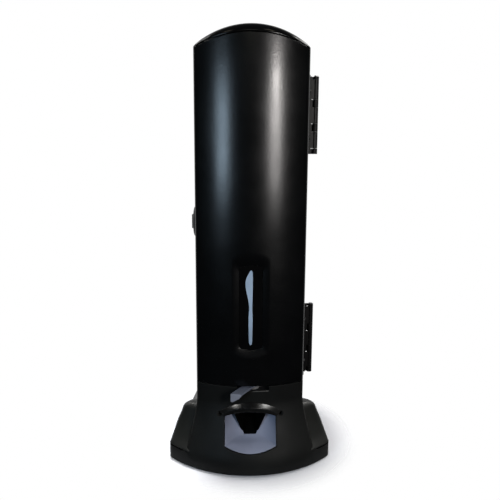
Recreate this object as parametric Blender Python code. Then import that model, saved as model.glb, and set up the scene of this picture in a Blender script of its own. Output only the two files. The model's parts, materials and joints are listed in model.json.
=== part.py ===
"""Countertop cutlery dispenser: a hinged tower on a flared base, with a push lever and an outlet scoop.

Metres, +Z up. The front faces -Y, and +X is to the viewer's right. The origin is the middle of the
footprint, on the surface that the feet stand on. Depths are counted from the plane of the tower's two
front corners, which lies at CORNER_Y.
"""

import math

import bmesh
import bpy
from mathutils import Matrix, Vector

# Fits that every piece shares
SEAT = 0.0003
OVERRUN = 0.004
WALL = 0.0025
EMBED = 0.001

# Tower outline in plan, and its arched top
TOWER_WIDTH = 0.156
TOWER_BULGE = 0.020
TOWER_DEPTH = 0.201
TOWER_CORNER = 0.007
TOWER_REAR_CORNER = 0.014
SEAM_DEPTH = 0.034
EAVES_APEX = 0.6020
EAVES_RADIUS = 0.195
ROOF_RISE = 0.0110
ROOF_RADIUS = 0.138
ROOF_EDGE = 0.008
ROOF_LIP = 0.012
ROOF_POCKET_SHARE = 0.6
DOOR_FOOT_GAP = 0.0014
DOOR_HEAD_GAP = 0.0015

# Base outline in plan, its rim and its flared skirt
BASE_WIDTH = 0.2384
BASE_BULGE = 0.052
BASE_CORNER = 0.012
BASE_WAIST_WIDTH = 0.224
BASE_WAIST_DEPTH = 0.033
BASE_REAR_WIDTH = 0.180
BASE_REAR_MARGIN = 0.007
BASE_REAR_CORNER = 0.018
PLATE_UNDERSIDE = 0.0018
PLATE_THICKNESS = 0.0027
PLATE_INSET = 0.001
RIM_TOP = 0.022
RIM_WALL = 0.003
RIM_CHAMFER = 0.0008
RIM_FLUSH = 0.00005
SKIRT_FOOT = 0.007
FLARE_TOP = 0.095
FLARE_SPREAD = 0.015
FLARE_POWER = 1.4
FLARE_CORNER_LOSS = 0.003

# Wings of the base housing: shares of height, of front inset, of setback from the rim, and of rear inset
WING_TOP = 0.0835
WING_INSET = 0.0432
WING_WAIST_INSET = 0.036
WING_REAR_INSET = 0.014
WING_SETBACK = 0.051
WING_BACK_INSET = 0.008
WING_CORNER = 0.008
WING_REAR_CORNER = 0.018
WING_CLEARANCE = 0.0004
WING_CHORD_SHARE = 0.83
WING_PROFILE_SHARES = (
    (0.000, 0.037, 0.029, 0.030),
    (0.022, 0.014, 0.012, 0.010),
    (0.210, 0.111, 0.259, 0.330),
    (0.480, 0.236, 0.510, 0.600),
    (0.720, 0.375, 0.676, 0.740),
    (0.852, 0.444, 0.755, 0.800),
    (0.914, 0.537, 0.814, 0.850),
    (0.967, 0.700, 0.892, 0.910),
    (1.000, 1.000, 1.000, 1.000),
)

# Hood over the outlet, and the outlet in the skirt
HOOD_APEX = 0.097
HOOD_HALF_SPAN = 0.044
HOOD_DROP = 0.0148
HOOD_DEPTH = 0.0117
HOOD_LIP_RADIUS = 0.082
HOOD_CHEEK = 0.001
HOOD_REACH = 0.0075
HOOD_END_SHARE = 0.35
HOOD_ROOT = 0.0012
HOOD_SECTION_SHARES = (
    (0.00, 0.00),
    (0.09, 0.60),
    (0.26, 0.94),
    (0.38, 1.00),
    (0.43, 0.95),
    (0.95, 0.76),
    (1.00, 0.70),
)
DIMPLE_RADIUS = 0.0036
DIMPLE_DEPTH = 0.0016
DIMPLE_SPREAD = 0.0005
DIMPLE_FALL = 0.003
DIMPLE_STEPS = 6
OUTLET_WIDTH = 0.0744
OUTLET_CORNER_HEIGHT = 0.0383
OUTLET_SAG = 0.0078

# Outlet chute: a funnel from the outlet to a V-shaped mouth
CHUTE_CLEARANCE = 0.0004
CHUTE_RECESS = 0.0008
CHUTE_WALL = 0.0021
CHUTE_LIP_SHARE = 2 / 3
CHUTE_FLANGE = 0.003
CHUTE_FLANGE_THICKNESS = 0.0016
MOUTH_DEPTH = -0.014
MOUTH_TOP = 0.076
MOUTH_BOTTOM = 0.0448
MOUTH_TOP_WIDTH = 0.044
MOUTH_BOTTOM_WIDTH = 0.017

# Ramp from the drop slot to the mouth
RAMP_WALL = 0.0018
RAMP_FRONT_DEPTH = -0.0114
RAMP_BACK_MARGIN = 0.006
RAMP_BACK_FALL = 0.0135
RAMP_BACK_WALL = 0.011
RAMP_BACK_WIDTH = 0.048
RAMP_LEDGE = 0.001
RAMP_RIB = 0.0024
RAMP_RIB_FRONT = 0.010
RAMP_RIB_MARGIN = 0.010

# Feet and posts of the base plate
FOOT_RADIUS = 0.0095
FOOT_CHAMFER = 0.0006
FOOT_STEM_RADIUS = 0.0025
FOOT_STEM_LENGTH = 0.0024
FOOT_FRONT_INSET = 0.0392
FOOT_FRONT_DEPTH = -0.004
FOOT_REAR_INSET = 0.016
FOOT_REAR_MARGIN = 0.026
POST_RADIUS = 0.005
POST_INSET = 0.018
POST_FRONT_DEPTH = 0.045
POST_REAR_MARGIN = 0.021
SCREW_RADIUS = 0.0015
SCREW_HEAD_RADIUS = 0.003
SCREW_HEAD_HEIGHT = 0.0018
SCREW_CROWN_SHARE = 0.75
SCREW_LENGTH = 0.010
SCREW_CLEARANCE = 0.0004

# Base deck
DECK_TOP = 0.1125
DECK_THICKNESS = 0.003
DECK_RIB_INSET = 0.010
DECK_RIB_WIDTH = 0.004
DECK_RIB_FRONT = 0.040
DECK_RIB_MARGIN = 0.011
FLOOR_THICKNESS = 0.003
FLOOR_CLEARANCE = 0.001

# Cutlery, the shuttle that carries one piece, and its travel
CUTLERY_LENGTH = 0.165
CUTLERY_WIDTH = 0.020
CUTLERY_PLAY = 0.001
SHUTTLE_THICKNESS = 0.004
SHUTTLE_WALL = 0.004
SHUTTLE_FRONT_BAR = 0.0055
SHUTTLE_REAR_BAR = 0.0045
SHUTTLE_COVER = 0.027
SHUTTLE_LEAD = 0.004
KEY_WIDTH = 0.002
KEY_LENGTH = 0.024
KEY_CLEARANCE = 0.0003

# Push lever, its slot, and the gear mesh
LEVER_X = 0.004
LEVER_DEPTH = -0.003
LEVER_SWEEP = math.radians(65)
LEVER_RISE = 0.007
LEVER_THICKNESS = 0.0026
LEVER_WIDTH = 0.0144
LEVER_HUB_RADIUS = 0.0083
LEVER_LONG_SIDE = 0.0488
LEVER_SHORT_SIDE = 0.0433
PADDLE_THICKNESS = 0.003
PADDLE_HEIGHT = 0.0126
PADDLE_OUTLINE_SHARES = (
    (0.00, 1.00),
    (0.00, 0.10),
    (0.06, 0.00),
    (0.17, 0.00),
    (0.80, 0.58),
    (1.00, 0.69),
    (1.00, 1.00),
)
SLOT_LEFT = -0.019
SLOT_RIGHT = 0.027
SLOT_SILL_RISE = 0.001
GEAR_MODULE = 0.002
GEAR_FULL_TEETH = 22
SECTOR_FIRST_TOOTH = -5
SECTOR_LAST_TOOTH = 1
SECTOR_HUB_RADIUS = 0.009
PRESSURE_ANGLE = math.radians(20)
BACKLASH = 0.0003
DEDENDUM_FACTOR = 1.25
PIVOT_RADIUS = 0.003
PIVOT_CLEARANCE = 0.0003
PIVOT_HEAD_RADIUS = 0.005
PIVOT_HEAD_HEIGHT = 0.0009
PIVOT_TAIL = 0.004
NUT_ACROSS_CORNERS = 0.011
NUT_THICKNESS = 0.003

# Return spring, from a lug on the deck to the shuttle's front bar
SPRING_RADIUS = 0.003
SPRING_WIRE = 0.00025
SPRING_ACTIVE_TURNS = 8
SPRING_END_PITCH = 0.0013
SPRING_LENGTH = 0.0385
SPRING_POINTS_PER_TURN = 8
LUG_THICKNESS = 0.003
LUG_WIDTH = 0.008
LUG_HEIGHT = 0.0072
PAD_THICKNESS = 0.0025
PEG_RADIUS = 0.0022
PEG_LENGTH = 0.005

# Magazine guides and the follower
GUIDE_WALL = 0.002
GUIDE_LIP = 0.006
GUIDE_FLANGE = 0.012
GUIDE_HEAD_MARGIN = 0.0417
FOLLOWER_CLEARANCE = 0.0004
FOLLOWER_HEIGHT = 0.026
TAB_WIDTH = 0.011
TAB_REACH = 0.016
TAB_THICKNESS = 0.004
TAB_GRIP_HEIGHT = 0.021
TAB_GRIP_THICKNESS = 0.003

# Window: the bevelled recess in the door, the panel in it, and the knife sign on the panel
WINDOW_WIDTH = 0.0486
WINDOW_TOP = 0.3072
WINDOW_BOTTOM = 0.1648
WINDOW_ARCH = 0.0078
PANEL_WIDTH = 0.0322
PANEL_TOP = 0.2958
PANEL_BOTTOM = 0.1742
PANEL_ARCH = 0.0034
PANEL_FRONT_DEPTH = -0.0155
PANEL_LAND = 0.002
PANEL_FLANGE = 0.004
PANEL_FLANGE_THICKNESS = 0.0012
BOSS_MARGIN = 0.0025
BEVEL_EXTENSION_SHARE = 0.25
SIGN_THICKNESS = 0.0004
SIGN_TOP = 0.289
SIGN_BOTTOM = 0.1812
SIGN_WIDTH = 0.0112
SIGN_OFFSET = -0.0026
SIGN_OUTLINE_SHARES = (
    (1.000, 0.78, 0.80),
    (0.985, 0.62, 0.93),
    (0.955, 0.42, 0.98),
    (0.915, 0.20, 1.00),
    (0.870, 0.05, 1.00),
    (0.820, 0.00, 1.00),
    (0.760, 0.05, 1.00),
    (0.690, 0.20, 0.99),
    (0.600, 0.40, 0.97),
    (0.520, 0.51, 0.95),
    (0.470, 0.51, 0.95),
    (0.400, 0.46, 0.99),
    (0.300, 0.45, 1.00),
    (0.200, 0.47, 0.99),
    (0.060, 0.50, 0.96),
    (0.015, 0.56, 0.90),
    (0.000, 0.66, 0.80),
)

# Outside hinges: knuckle lengths, from the top down, are shares of the hinge's height
HINGE_STAND_OFF = 0.0129
HINGE_KNUCKLE_RADIUS = 0.004
HINGE_LEAF = 0.0028
HINGE_FOOT = 0.0025
HINGE_FOOT_WIDTH = 0.016
HINGE_HEIGHT = 0.1061
HINGE_HEAD_MARGIN = 0.0472
HINGE_FOOT_MARGIN = 0.0022
HINGE_NOTCH = 0.0022
HINGE_PIN_RADIUS = 0.0016
HINGE_PIN_CLEARANCE = 0.0003
HINGE_PIN_HEAD_RADIUS = 0.0028
HINGE_PIN_HEAD_HEIGHT = 0.0012
HINGE_END_PLAY = 0.0004
HINGE_SCREW_SHARES = (0.2, 0.8)
HINGE_KNUCKLE_SHARES = (
    ("case", 0.034),
    ("door", 0.255),
    ("case", 0.107),
    ("door", 0.207),
    ("case", 0.105),
    ("door", 0.218),
    ("case", 0.074),
)

# Quarter-turn latch on the left side
LATCH_DEPTH = 0.060
LATCH_HEIGHT = 0.349
ROSETTE_RADIUS = 0.024
ROSETTE_THICKNESS = 0.0055
ROSETTE_EDGE_SHARE = 0.45
ROSETTE_CROWN_SHARE = 0.85
ROSETTE_SHOULDER = 0.0055
KNOB_RADIUS = 0.0115
KNOB_THICKNESS = 0.0013
KNOB_BAR_WIDTH = 0.0046
KNOB_BAR_HEIGHT = 0.0013
SPINDLE_RADIUS = 0.0042
SPINDLE_CLEARANCE = 0.0004
SPINDLE_TAIL_RADIUS = 0.003
SPINDLE_TAIL = 0.0088
HOOK_THICKNESS = 0.003
HOOK_HUB_RADIUS = 0.0065
HOOK_WIDTH = 0.008
HOOK_REACH = 0.036
HOOK_LUG = 0.004
HOOK_LUG_LENGTH = 0.0085
KEEPER_WALL = 0.0025
KEEPER_HEIGHT = 0.016
KEEPER_ARM = 0.017
KEEPER_FOOT = 0.008
KEEPER_FRONT_DEPTH = 0.014
KEEPER_BACK_DEPTH = 0.032
KEEPER_MOUTH = 0.0045

# Facet counts
ARC_STEPS = 28
CORNER_STEPS = 4
FLARE_STEPS = 7
WING_STEPS = 4
ROUND_STEPS = 16
COLUMN_STEPS = 12
SIDE_STEPS = 5
SMALL_STEPS = 8

# Places worked out from the sizes above
BASE_BACK = (BASE_BULGE + TOWER_DEPTH + BASE_REAR_MARGIN) / 2
CORNER_Y = BASE_BULGE - BASE_BACK
TOWER_HALF = TOWER_WIDTH / 2
TOWER_BACK = CORNER_Y + TOWER_DEPTH
SEAM_Y = CORNER_Y + SEAM_DEPTH
ROOF_APEX = EAVES_APEX + ROOF_RISE
BASE_HALF = BASE_WIDTH / 2
BASE_WAIST_HALF = BASE_WAIST_WIDTH / 2
BASE_WAIST_Y = CORNER_Y + BASE_WAIST_DEPTH
BASE_REAR_HALF = BASE_REAR_WIDTH / 2
PLATE_TOP = PLATE_UNDERSIDE + PLATE_THICKNESS
SHELL_FOOT = PLATE_TOP + SEAT
DECK_UNDERSIDE = DECK_TOP - DECK_THICKNESS
SLOT_SILL = DECK_TOP + SLOT_SILL_RISE
LEVER_TOP = DECK_TOP + LEVER_RISE
NECK_TOP = LEVER_TOP + SEAT
FLOOR_UNDERSIDE = LEVER_TOP + SEAT + PIVOT_HEAD_HEIGHT + SEAT
FLOOR_TOP = FLOOR_UNDERSIDE + FLOOR_THICKNESS
RAMP_BACK_FLOOR = DECK_UNDERSIDE - RAMP_BACK_FALL
RAMP_BACK_TOP = RAMP_BACK_FLOOR + RAMP_BACK_WALL
RAMP_BACK_DEPTH = TOWER_DEPTH - RAMP_BACK_MARGIN
RAMP_RIB_BACK = RAMP_BACK_DEPTH - RAMP_RIB_MARGIN
DOOR_FOOT = NECK_TOP + DOOR_FOOT_GAP
GEAR_RADIUS = GEAR_MODULE * GEAR_FULL_TEETH / 2
GEAR_TIP = GEAR_RADIUS + GEAR_MODULE
SHUTTLE_TRAVEL = GEAR_RADIUS * LEVER_SWEEP
PIVOT = Vector((LEVER_X, CORNER_Y + LEVER_DEPTH, 0))
POCKET_WIDTH = CUTLERY_WIDTH + CUTLERY_PLAY
POCKET_LENGTH = CUTLERY_LENGTH + CUTLERY_PLAY
POCKET_LEFT = (SHUTTLE_TRAVEL - POCKET_WIDTH) / 2
POCKET_RIGHT = POCKET_LEFT + POCKET_WIDTH
RACK_ROOT_Y = PIVOT.y + GEAR_RADIUS + GEAR_MODULE * DEDENDUM_FACTOR
POCKET_FRONT = RACK_ROOT_Y + SHUTTLE_FRONT_BAR
POCKET_BACK = POCKET_FRONT + POCKET_LENGTH
SHUTTLE_FOOT = DECK_TOP + SEAT
SHUTTLE_TOP = SHUTTLE_FOOT + SHUTTLE_THICKNESS
SPRING_AXIS_Z = DECK_TOP + SEAT + SPRING_RADIUS + SPRING_WIRE
SPRING_AXIS_Y = POCKET_FRONT - SPRING_RADIUS - 2 * SPRING_WIRE
BAR_LEFT = POCKET_LEFT - SHUTTLE_WALL - SHUTTLE_LEAD
LUG_RIGHT = BAR_LEFT - SPRING_LENGTH - SEAT * 2
HINGE_AXIS = Vector((TOWER_HALF + HINGE_STAND_OFF, SEAM_Y, 0))
LATCH_AXIS = Vector((-TOWER_HALF, CORNER_Y + LATCH_DEPTH, LATCH_HEIGHT))
HINGE_UPPER_FOOT = EAVES_APEX - HINGE_HEAD_MARGIN - HINGE_HEIGHT
HINGE_LOWER_FOOT = NECK_TOP + HINGE_FOOT_MARGIN
GUIDE_FOOT = FLOOR_TOP + SEAT
GUIDE_TOP = EAVES_APEX - GUIDE_HEAD_MARGIN


def pairs(half_spacing, y):
    """Two places, left and right, this far from the middle."""
    return [(-half_spacing, y), (half_spacing, y)]


POSTS = pairs(TOWER_HALF - POST_INSET, CORNER_Y + POST_FRONT_DEPTH)
POSTS += pairs(TOWER_HALF - POST_INSET, TOWER_BACK - POST_REAR_MARGIN)
FEET = pairs(BASE_HALF - FOOT_FRONT_INSET, CORNER_Y + FOOT_FRONT_DEPTH)
FEET += pairs(BASE_REAR_HALF - FOOT_REAR_INSET, BASE_BACK - FOOT_REAR_MARGIN)
CORNER_NAMES = ("front_left", "front_right", "rear_left", "rear_right")

# Finishes: colour, roughness, metallic
BLACK_SATIN = ((0.012, 0.012, 0.013), 0.38, 0.0)
BLACK_GLOSS = ((0.006, 0.006, 0.007), 0.12, 0.0)
BLACK_MATT = ((0.020, 0.020, 0.021), 0.60, 0.0)
GREY_BLUE = ((0.150, 0.175, 0.250), 0.28, 0.0)
SIGN_BLUE = ((0.320, 0.420, 0.560), 0.45, 0.0)
GREY_PLASTIC = ((0.180, 0.180, 0.185), 0.50, 0.0)
RUBBER = ((0.015, 0.015, 0.015), 0.85, 0.0)
STEEL = ((0.560, 0.560, 0.570), 0.30, 1.0)


def arc_radius(half_chord, bulge):
    """Radius of the arc through the ends of a chord that stands bulge above its middle."""
    return (half_chord**2 + bulge**2) / (2 * bulge)


TOWER_ARC = arc_radius(TOWER_HALF, TOWER_BULGE)
TOWER_ARC_Y = CORNER_Y - TOWER_BULGE + TOWER_ARC
BASE_ARC = arc_radius(BASE_HALF, BASE_BULGE)
BASE_ARC_Y = CORNER_Y - BASE_BULGE + BASE_ARC
HOOD_ARC = arc_radius(HOOD_HALF_SPAN, HOOD_DROP)
HOOD_CENTRE_Z = HOOD_APEX - HOOD_ARC


def spread(start, end, steps):
    """steps + 1 values from start to end."""
    return [start + (end - start) * i / steps for i in range(steps + 1)]


def arch(x, radius):
    """How far an arc of this radius has dropped from its apex, x to the side."""
    return radius - math.sqrt(radius**2 - x**2)


def eaves(x):
    return EAVES_APEX - arch(x, EAVES_RADIUS)


def roof(x):
    return ROOF_APEX - arch(x, ROOF_RADIUS)


def tangent_angle(centre, corner, point, side):
    """Where the straight line from a point touches a corner's circle: side is 1 or -1."""
    away = Vector(point) - Vector(centre)
    return math.atan2(away.y, away.x) + side * math.acos(corner / away.length)


def front_outline(half_width, radius, centre_y, corner, end, arc_steps=ARC_STEPS, chord_share=0):
    """Plan of a bowed front with rounded corners, from the end point on the right round to that on the left.

    With a chord_share, that share of the bow's width is a straight line, and arc_steps go on each side of it.
    """
    corner_x = half_width - corner
    corner_y = centre_y - math.sqrt((radius - corner) ** 2 - corner_x**2)
    meet = math.atan2(corner_y - centre_y, corner_x)
    lean = tangent_angle((corner_x, corner_y), corner, end, -1)
    right = [end]
    for angle in spread(lean, meet, CORNER_STEPS):
        right.append((corner_x + corner * math.cos(angle), corner_y + corner * math.sin(angle)))
    if chord_share:
        angles = spread(meet, -math.acos(corner_x * chord_share / radius), arc_steps)[1:]
        angles += [-math.pi - angle for angle in reversed(angles)]
    else:
        angles = spread(meet, -math.pi - meet, arc_steps)[1:-1]
    front = [(radius * math.cos(angle), centre_y + radius * math.sin(angle)) for angle in angles]
    left = [(-x, y) for x, y in reversed(right)]
    return right + front + left


def rear_outline(half_width, start, back_y, corner, back_steps=ARC_STEPS):
    """Plan of the sides and back, from the left to the start point, which is on the right."""
    corner_x = half_width - corner
    corner_y = back_y - corner
    lean = tangent_angle((corner_x, corner_y), corner, start, 1)
    right = [start]
    for angle in spread(lean, math.pi / 2, CORNER_STEPS):
        right.append((corner_x + corner * math.cos(angle), corner_y + corner * math.sin(angle)))
    back = [(x, back_y) for x in spread(-corner_x, corner_x, back_steps)[1:-1]]
    left = [(-x, y) for x, y in right]
    return left + back + right[::-1]


def closed_outline(front, rear):
    """A front and a rear outline that share their end points, as one loop."""
    return front + rear[1:-1]


def base_outline(inset):
    """Plan of the base, drawn in by inset."""
    waist = (BASE_WAIST_HALF - inset, BASE_WAIST_Y)
    front = front_outline(BASE_HALF - inset, BASE_ARC - inset, BASE_ARC_Y, BASE_CORNER - inset, waist)
    rear = rear_outline(BASE_REAR_HALF - inset, waist, BASE_BACK - inset, BASE_REAR_CORNER - inset, 1)
    return closed_outline(front, rear)


def tower_outline(inset, arc_steps=ARC_STEPS):
    """Plan of the tower, drawn in by inset."""
    corner = max(TOWER_CORNER - inset, EMBED)
    half = TOWER_HALF - inset
    seam = (half, SEAM_Y)
    front = front_outline(half, TOWER_ARC - inset, TOWER_ARC_Y, corner, seam, arc_steps)
    rear = rear_outline(half, seam, TOWER_BACK - inset, max(TOWER_REAR_CORNER - inset, EMBED), arc_steps)
    return closed_outline(front, rear)


def flare(z):
    """How far the skirt has flared at height z: 0 at the neck, 1 at the rim."""
    drop = (FLARE_TOP - z) / (FLARE_TOP - RIM_TOP)
    return min(max(drop, 0), 1) ** FLARE_POWER


def skirt_section(z):
    """Half width, arc radius, arc centre and corner radius of the skirt's plan at height z."""
    share = flare(z)
    half = TOWER_HALF + FLARE_SPREAD * share
    rim_half = TOWER_HALF + FLARE_SPREAD
    rim_corner_y = BASE_ARC_Y - math.sqrt(BASE_ARC**2 - rim_half**2)
    corner_y = CORNER_Y + (rim_corner_y - CORNER_Y) * share
    apex_y = CORNER_Y - TOWER_BULGE - (BASE_BULGE - TOWER_BULGE) * share
    radius = arc_radius(half, corner_y - apex_y)
    return half, radius, apex_y + radius, TOWER_CORNER - FLARE_CORNER_LOSS * share


def skirt_y(x, z):
    """Where the skirt's front surface is, at x and height z."""
    _, radius, centre_y, _ = skirt_section(z)
    return centre_y - math.sqrt(radius**2 - x**2)


def door_y(x):
    """Where the door's front surface is, at x."""
    return TOWER_ARC_Y - math.sqrt(TOWER_ARC**2 - x**2)


def dress(obj, finish, smooth_angle=None):
    """Gives the object its own material and, for a round piece, smooth shading up to an angle."""
    colour, roughness, metallic = finish
    material = bpy.data.materials.new(obj.name)
    material.use_nodes = True
    shader = material.node_tree.nodes["Principled BSDF"]
    shader.inputs["Base Color"].default_value = (*colour, 1)
    shader.inputs["Roughness"].default_value = roughness
    shader.inputs["Metallic"].default_value = metallic
    obj.data.materials.append(material)
    if smooth_angle is not None:
        obj.data.shade_smooth()
        obj.data.set_sharp_from_angle(angle=smooth_angle)
    return obj


SMOOTH = math.radians(35)


def mesh_object(name, vertices, faces, origin=(0, 0, 0)):
    """A mesh object whose faces point out, with its origin at a given place."""
    mesh = bpy.data.meshes.new(name)
    mesh.from_pydata([Vector(v) - Vector(origin) for v in vertices], [], faces)
    work = bmesh.new()
    work.from_mesh(mesh)
    bmesh.ops.recalc_face_normals(work, faces=work.faces)
    work.to_mesh(mesh)
    work.free()
    obj = bpy.data.objects.new(name, mesh)
    obj.location = origin
    bpy.context.collection.objects.link(obj)
    return obj


def prism(name, outline, low, high, plane="XY", origin=(0, 0, 0)):
    """An outline extruded at right angles to its plane, from low to high."""
    place = {
        "XY": lambda a, b, h: (a, b, h),
        "XZ": lambda a, b, h: (a, h, b),
        "YZ": lambda a, b, h: (h, a, b),
    }[plane]
    count = len(outline)
    vertices = [place(a, b, h) for h in (low, high) for a, b in outline]
    faces = [tuple(range(count)), tuple(range(count, 2 * count))]
    for i in range(count):
        after = (i + 1) % count
        faces.append((i, after, count + after, count + i))
    return mesh_object(name, vertices, faces, origin)


def block(name, low, high, origin=(0, 0, 0)):
    """A rectangular block between two corners."""
    outline = [(low[0], low[1]), (high[0], low[1]), (high[0], high[1]), (low[0], high[1])]
    return prism(name, outline, low[2], high[2], "XY", origin)


def loft(name, rings, origin=(0, 0, 0)):
    """Closed rings of equal count joined in order, with the first and last filled."""
    count = len(rings[0])
    vertices = [point for ring in rings for point in ring]
    faces = [tuple(range(count)), tuple(range(len(vertices) - count, len(vertices)))]
    for k in range(len(rings) - 1):
        for i in range(count):
            after = (i + 1) % count
            low, high = k * count, (k + 1) * count
            faces.append((low + i, low + after, high + after, high + i))
    return mesh_object(name, vertices, faces, origin)


def torus_loft(name, rings):
    """Closed rings of equal count joined in order, and the last to the first."""
    count = len(rings[0])
    vertices = [point for ring in rings for point in ring]
    faces = []
    for k in range(len(rings)):
        low, high = k * count, (k + 1) % len(rings) * count
        for i in range(count):
            after = (i + 1) % count
            faces.append((low + i, low + after, high + after, high + i))
    return mesh_object(name, vertices, faces)


def shell(name, outer, inner, closed=False):
    """A wall between two grids of points, each a list of levels, open or closed in plan."""
    levels = len(outer)
    count = len(outer[0])
    spans = count if closed else count - 1
    vertices = [p for level in outer for p in level] + [p for level in inner for p in level]

    def out(k, i):
        return k * count + i % count

    def back(k, i):
        return (levels + k) * count + i % count

    faces = []
    for k in range(levels - 1):
        for i in range(spans):
            faces.append((out(k, i), out(k, i + 1), out(k + 1, i + 1), out(k + 1, i)))
            faces.append((back(k, i), back(k + 1, i), back(k + 1, i + 1), back(k, i + 1)))
        if not closed:
            for i in (0, count - 1):
                faces.append((out(k, i), out(k + 1, i), back(k + 1, i), back(k, i)))
    for k in (0, levels - 1):
        for i in range(spans):
            faces.append((out(k, i), out(k, i + 1), back(k, i + 1), back(k, i)))
    return mesh_object(name, vertices, faces)


def strip_solid(name, sections):
    """A solid through sections, each a row of (low point, high point) columns of equal count."""
    count = len(sections[0])
    vertices = [point for section in sections for column in section for point in column]

    def at(k, i, high):
        return (k * count + i) * 2 + high

    faces = []
    for k in (0, len(sections) - 1):
        for i in range(count - 1):
            faces.append((at(k, i, 0), at(k, i + 1, 0), at(k, i + 1, 1), at(k, i, 1)))
    for k in range(len(sections) - 1):
        for i in range(count - 1):
            for high in (0, 1):
                faces.append((at(k, i, high), at(k, i + 1, high), at(k + 1, i + 1, high), at(k + 1, i, high)))
        for i in (0, count - 1):
            faces.append((at(k, i, 0), at(k, i, 1), at(k + 1, i, 1), at(k + 1, i, 0)))
    return mesh_object(name, vertices, faces)


def turned(name, profile, steps=ROUND_STEPS, place=Matrix(), origin=(0, 0, 0)):
    """A profile of (radius, height) turned about Z, then moved by place.

    A profile that starts and ends on the axis makes a solid, and any other is a closed loop round a bore.
    """
    solid = profile[0][0] == 0 and profile[-1][0] == 0
    rows, vertices = [], []
    for radius, height in profile:
        if radius == 0:
            rows.append([len(vertices)] * steps)
            vertices.append((0, 0, height))
            continue
        rows.append(list(range(len(vertices), len(vertices) + steps)))
        for i in range(steps):
            angle = 2 * math.pi * i / steps
            vertices.append((radius * math.cos(angle), radius * math.sin(angle), height))
    faces = []
    for k in range(len(rows) if not solid else len(rows) - 1):
        low, high = rows[k], rows[(k + 1) % len(rows)]
        for i in range(steps):
            after = (i + 1) % steps
            corners = (low[i], low[after], high[after], high[i])
            faces.append(tuple(dict.fromkeys(corners)))
    vertices = [place @ Vector(v) for v in vertices]
    return mesh_object(name, vertices, faces, origin)


def cylinder(name, radius, low, high, place=Matrix(), steps=ROUND_STEPS):
    return turned(name, [(0, low), (radius, low), (radius, high), (0, high)], steps, place)


def along(axis, x, y, z):
    """Moves Z to the named axis, then to a place."""
    turns = {
        "X": Matrix.Rotation(math.pi / 2, 4, "Y"),
        "-X": Matrix.Rotation(-math.pi / 2, 4, "Y"),
        "Z": Matrix(),
    }
    return Matrix.Translation((x, y, z)) @ turns[axis]


def combine(obj, other, operation):
    """Adds or cuts another mesh, which then shows only as wire."""
    other.display_type = "WIRE"
    other.hide_render = True
    modifier = obj.modifiers.new(other.name, "BOOLEAN")
    modifier.operation = operation
    modifier.object = other
    modifier.solver = "EXACT"


def cut(obj, cutter):
    combine(obj, cutter, "DIFFERENCE")


def join(obj, other):
    combine(obj, other, "UNION")


def at_height(outline, z):
    return [(x, y, z) for x, y in outline]


def make_feet():
    top = PLATE_UNDERSIDE - SEAT
    profile = [
        (0, 0),
        (FOOT_RADIUS - FOOT_CHAMFER, 0),
        (FOOT_RADIUS, FOOT_CHAMFER),
        (FOOT_RADIUS, top),
        (FOOT_STEM_RADIUS, top),
        (FOOT_STEM_RADIUS, top + FOOT_STEM_LENGTH),
        (0, top + FOOT_STEM_LENGTH),
    ]
    for name, (x, y) in zip(CORNER_NAMES, FEET):
        foot = turned("foot_" + name, profile, ROUND_STEPS, along("Z", x, y, 0), (x, y, 0))
        dress(foot, RUBBER, SMOOTH)


def make_base_plate():
    plate = prism("base_plate", base_outline(PLATE_INSET), PLATE_UNDERSIDE, PLATE_TOP)
    dress(plate, BLACK_MATT)
    for name, (x, y) in zip(CORNER_NAMES, FEET):
        stem = FOOT_STEM_RADIUS + SEAT
        hole = cylinder("cutter_stem_" + name, stem, 0, PLATE_TOP + OVERRUN, along("Z", x, y, 0))
        cut(plate, hole)
    post_top = DECK_UNDERSIDE - SEAT
    bore = SCREW_RADIUS + SCREW_CLEARANCE
    floor = post_top - SCREW_LENGTH
    profile = [
        (0, PLATE_TOP - EMBED),
        (POST_RADIUS, PLATE_TOP - EMBED),
        (POST_RADIUS, post_top),
        (bore, post_top),
        (bore, floor),
        (0, floor),
    ]
    for i, (x, y) in enumerate(POSTS):
        join(plate, turned(f"post_{i + 1}", profile, COLUMN_STEPS, along("Z", x, y, 0)))


def skirt_ring(z, inset):
    half, radius, centre_y, corner = skirt_section(z)
    plan = front_outline(half - inset, radius - inset, centre_y, corner - inset, (half - inset, SEAM_Y))
    return at_height(plan, z)


def outlet_head(x, inset=0):
    """Height of the outlet's arched head at x, drawn in by inset."""
    return HOOD_APEX - HOOD_DEPTH - inset - arch(x, HOOD_LIP_RADIUS - inset)


def make_hood():
    """A visor over the outlet: a bright crest, an upright face and a flat underside at the outlet's head."""
    end = math.asin(HOOD_HALF_SPAN / HOOD_ARC)
    rings = []
    for share in spread(-1, 1, ROUND_STEPS):
        crest = Vector((HOOD_ARC * math.sin(end * share), HOOD_CENTRE_Z + HOOD_ARC * math.cos(end * share)))
        lip_x = (OUTLET_WIDTH / 2 + HOOD_CHEEK) * share
        lip = Vector((lip_x, outlet_head(lip_x) + SEAT))
        reach = HOOD_REACH * (HOOD_END_SHARE + (1 - HOOD_END_SHARE) * math.cos(share * math.pi / 2))
        ring = [(*crest, -HOOD_ROOT)]
        ring += [(*crest.lerp(lip, down), reach * out) for down, out in HOOD_SECTION_SHARES]
        ring.append((*lip, -HOOD_ROOT))
        rings.append([(x, skirt_y(x, z) - out, z) for x, z, out in ring])
    return loft("hood", rings)


def outlet_columns(inset, steps):
    """Columns (x, low z, high z) across the outlet, drawn in by inset."""
    half = OUTLET_WIDTH / 2 - inset
    sill_arc = arc_radius(OUTLET_WIDTH / 2, OUTLET_SAG)
    sill = OUTLET_CORNER_HEIGHT - OUTLET_SAG + inset
    return [(x, sill + arch(x, sill_arc), outlet_head(x, inset)) for x in spread(-half, half, steps)]


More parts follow.
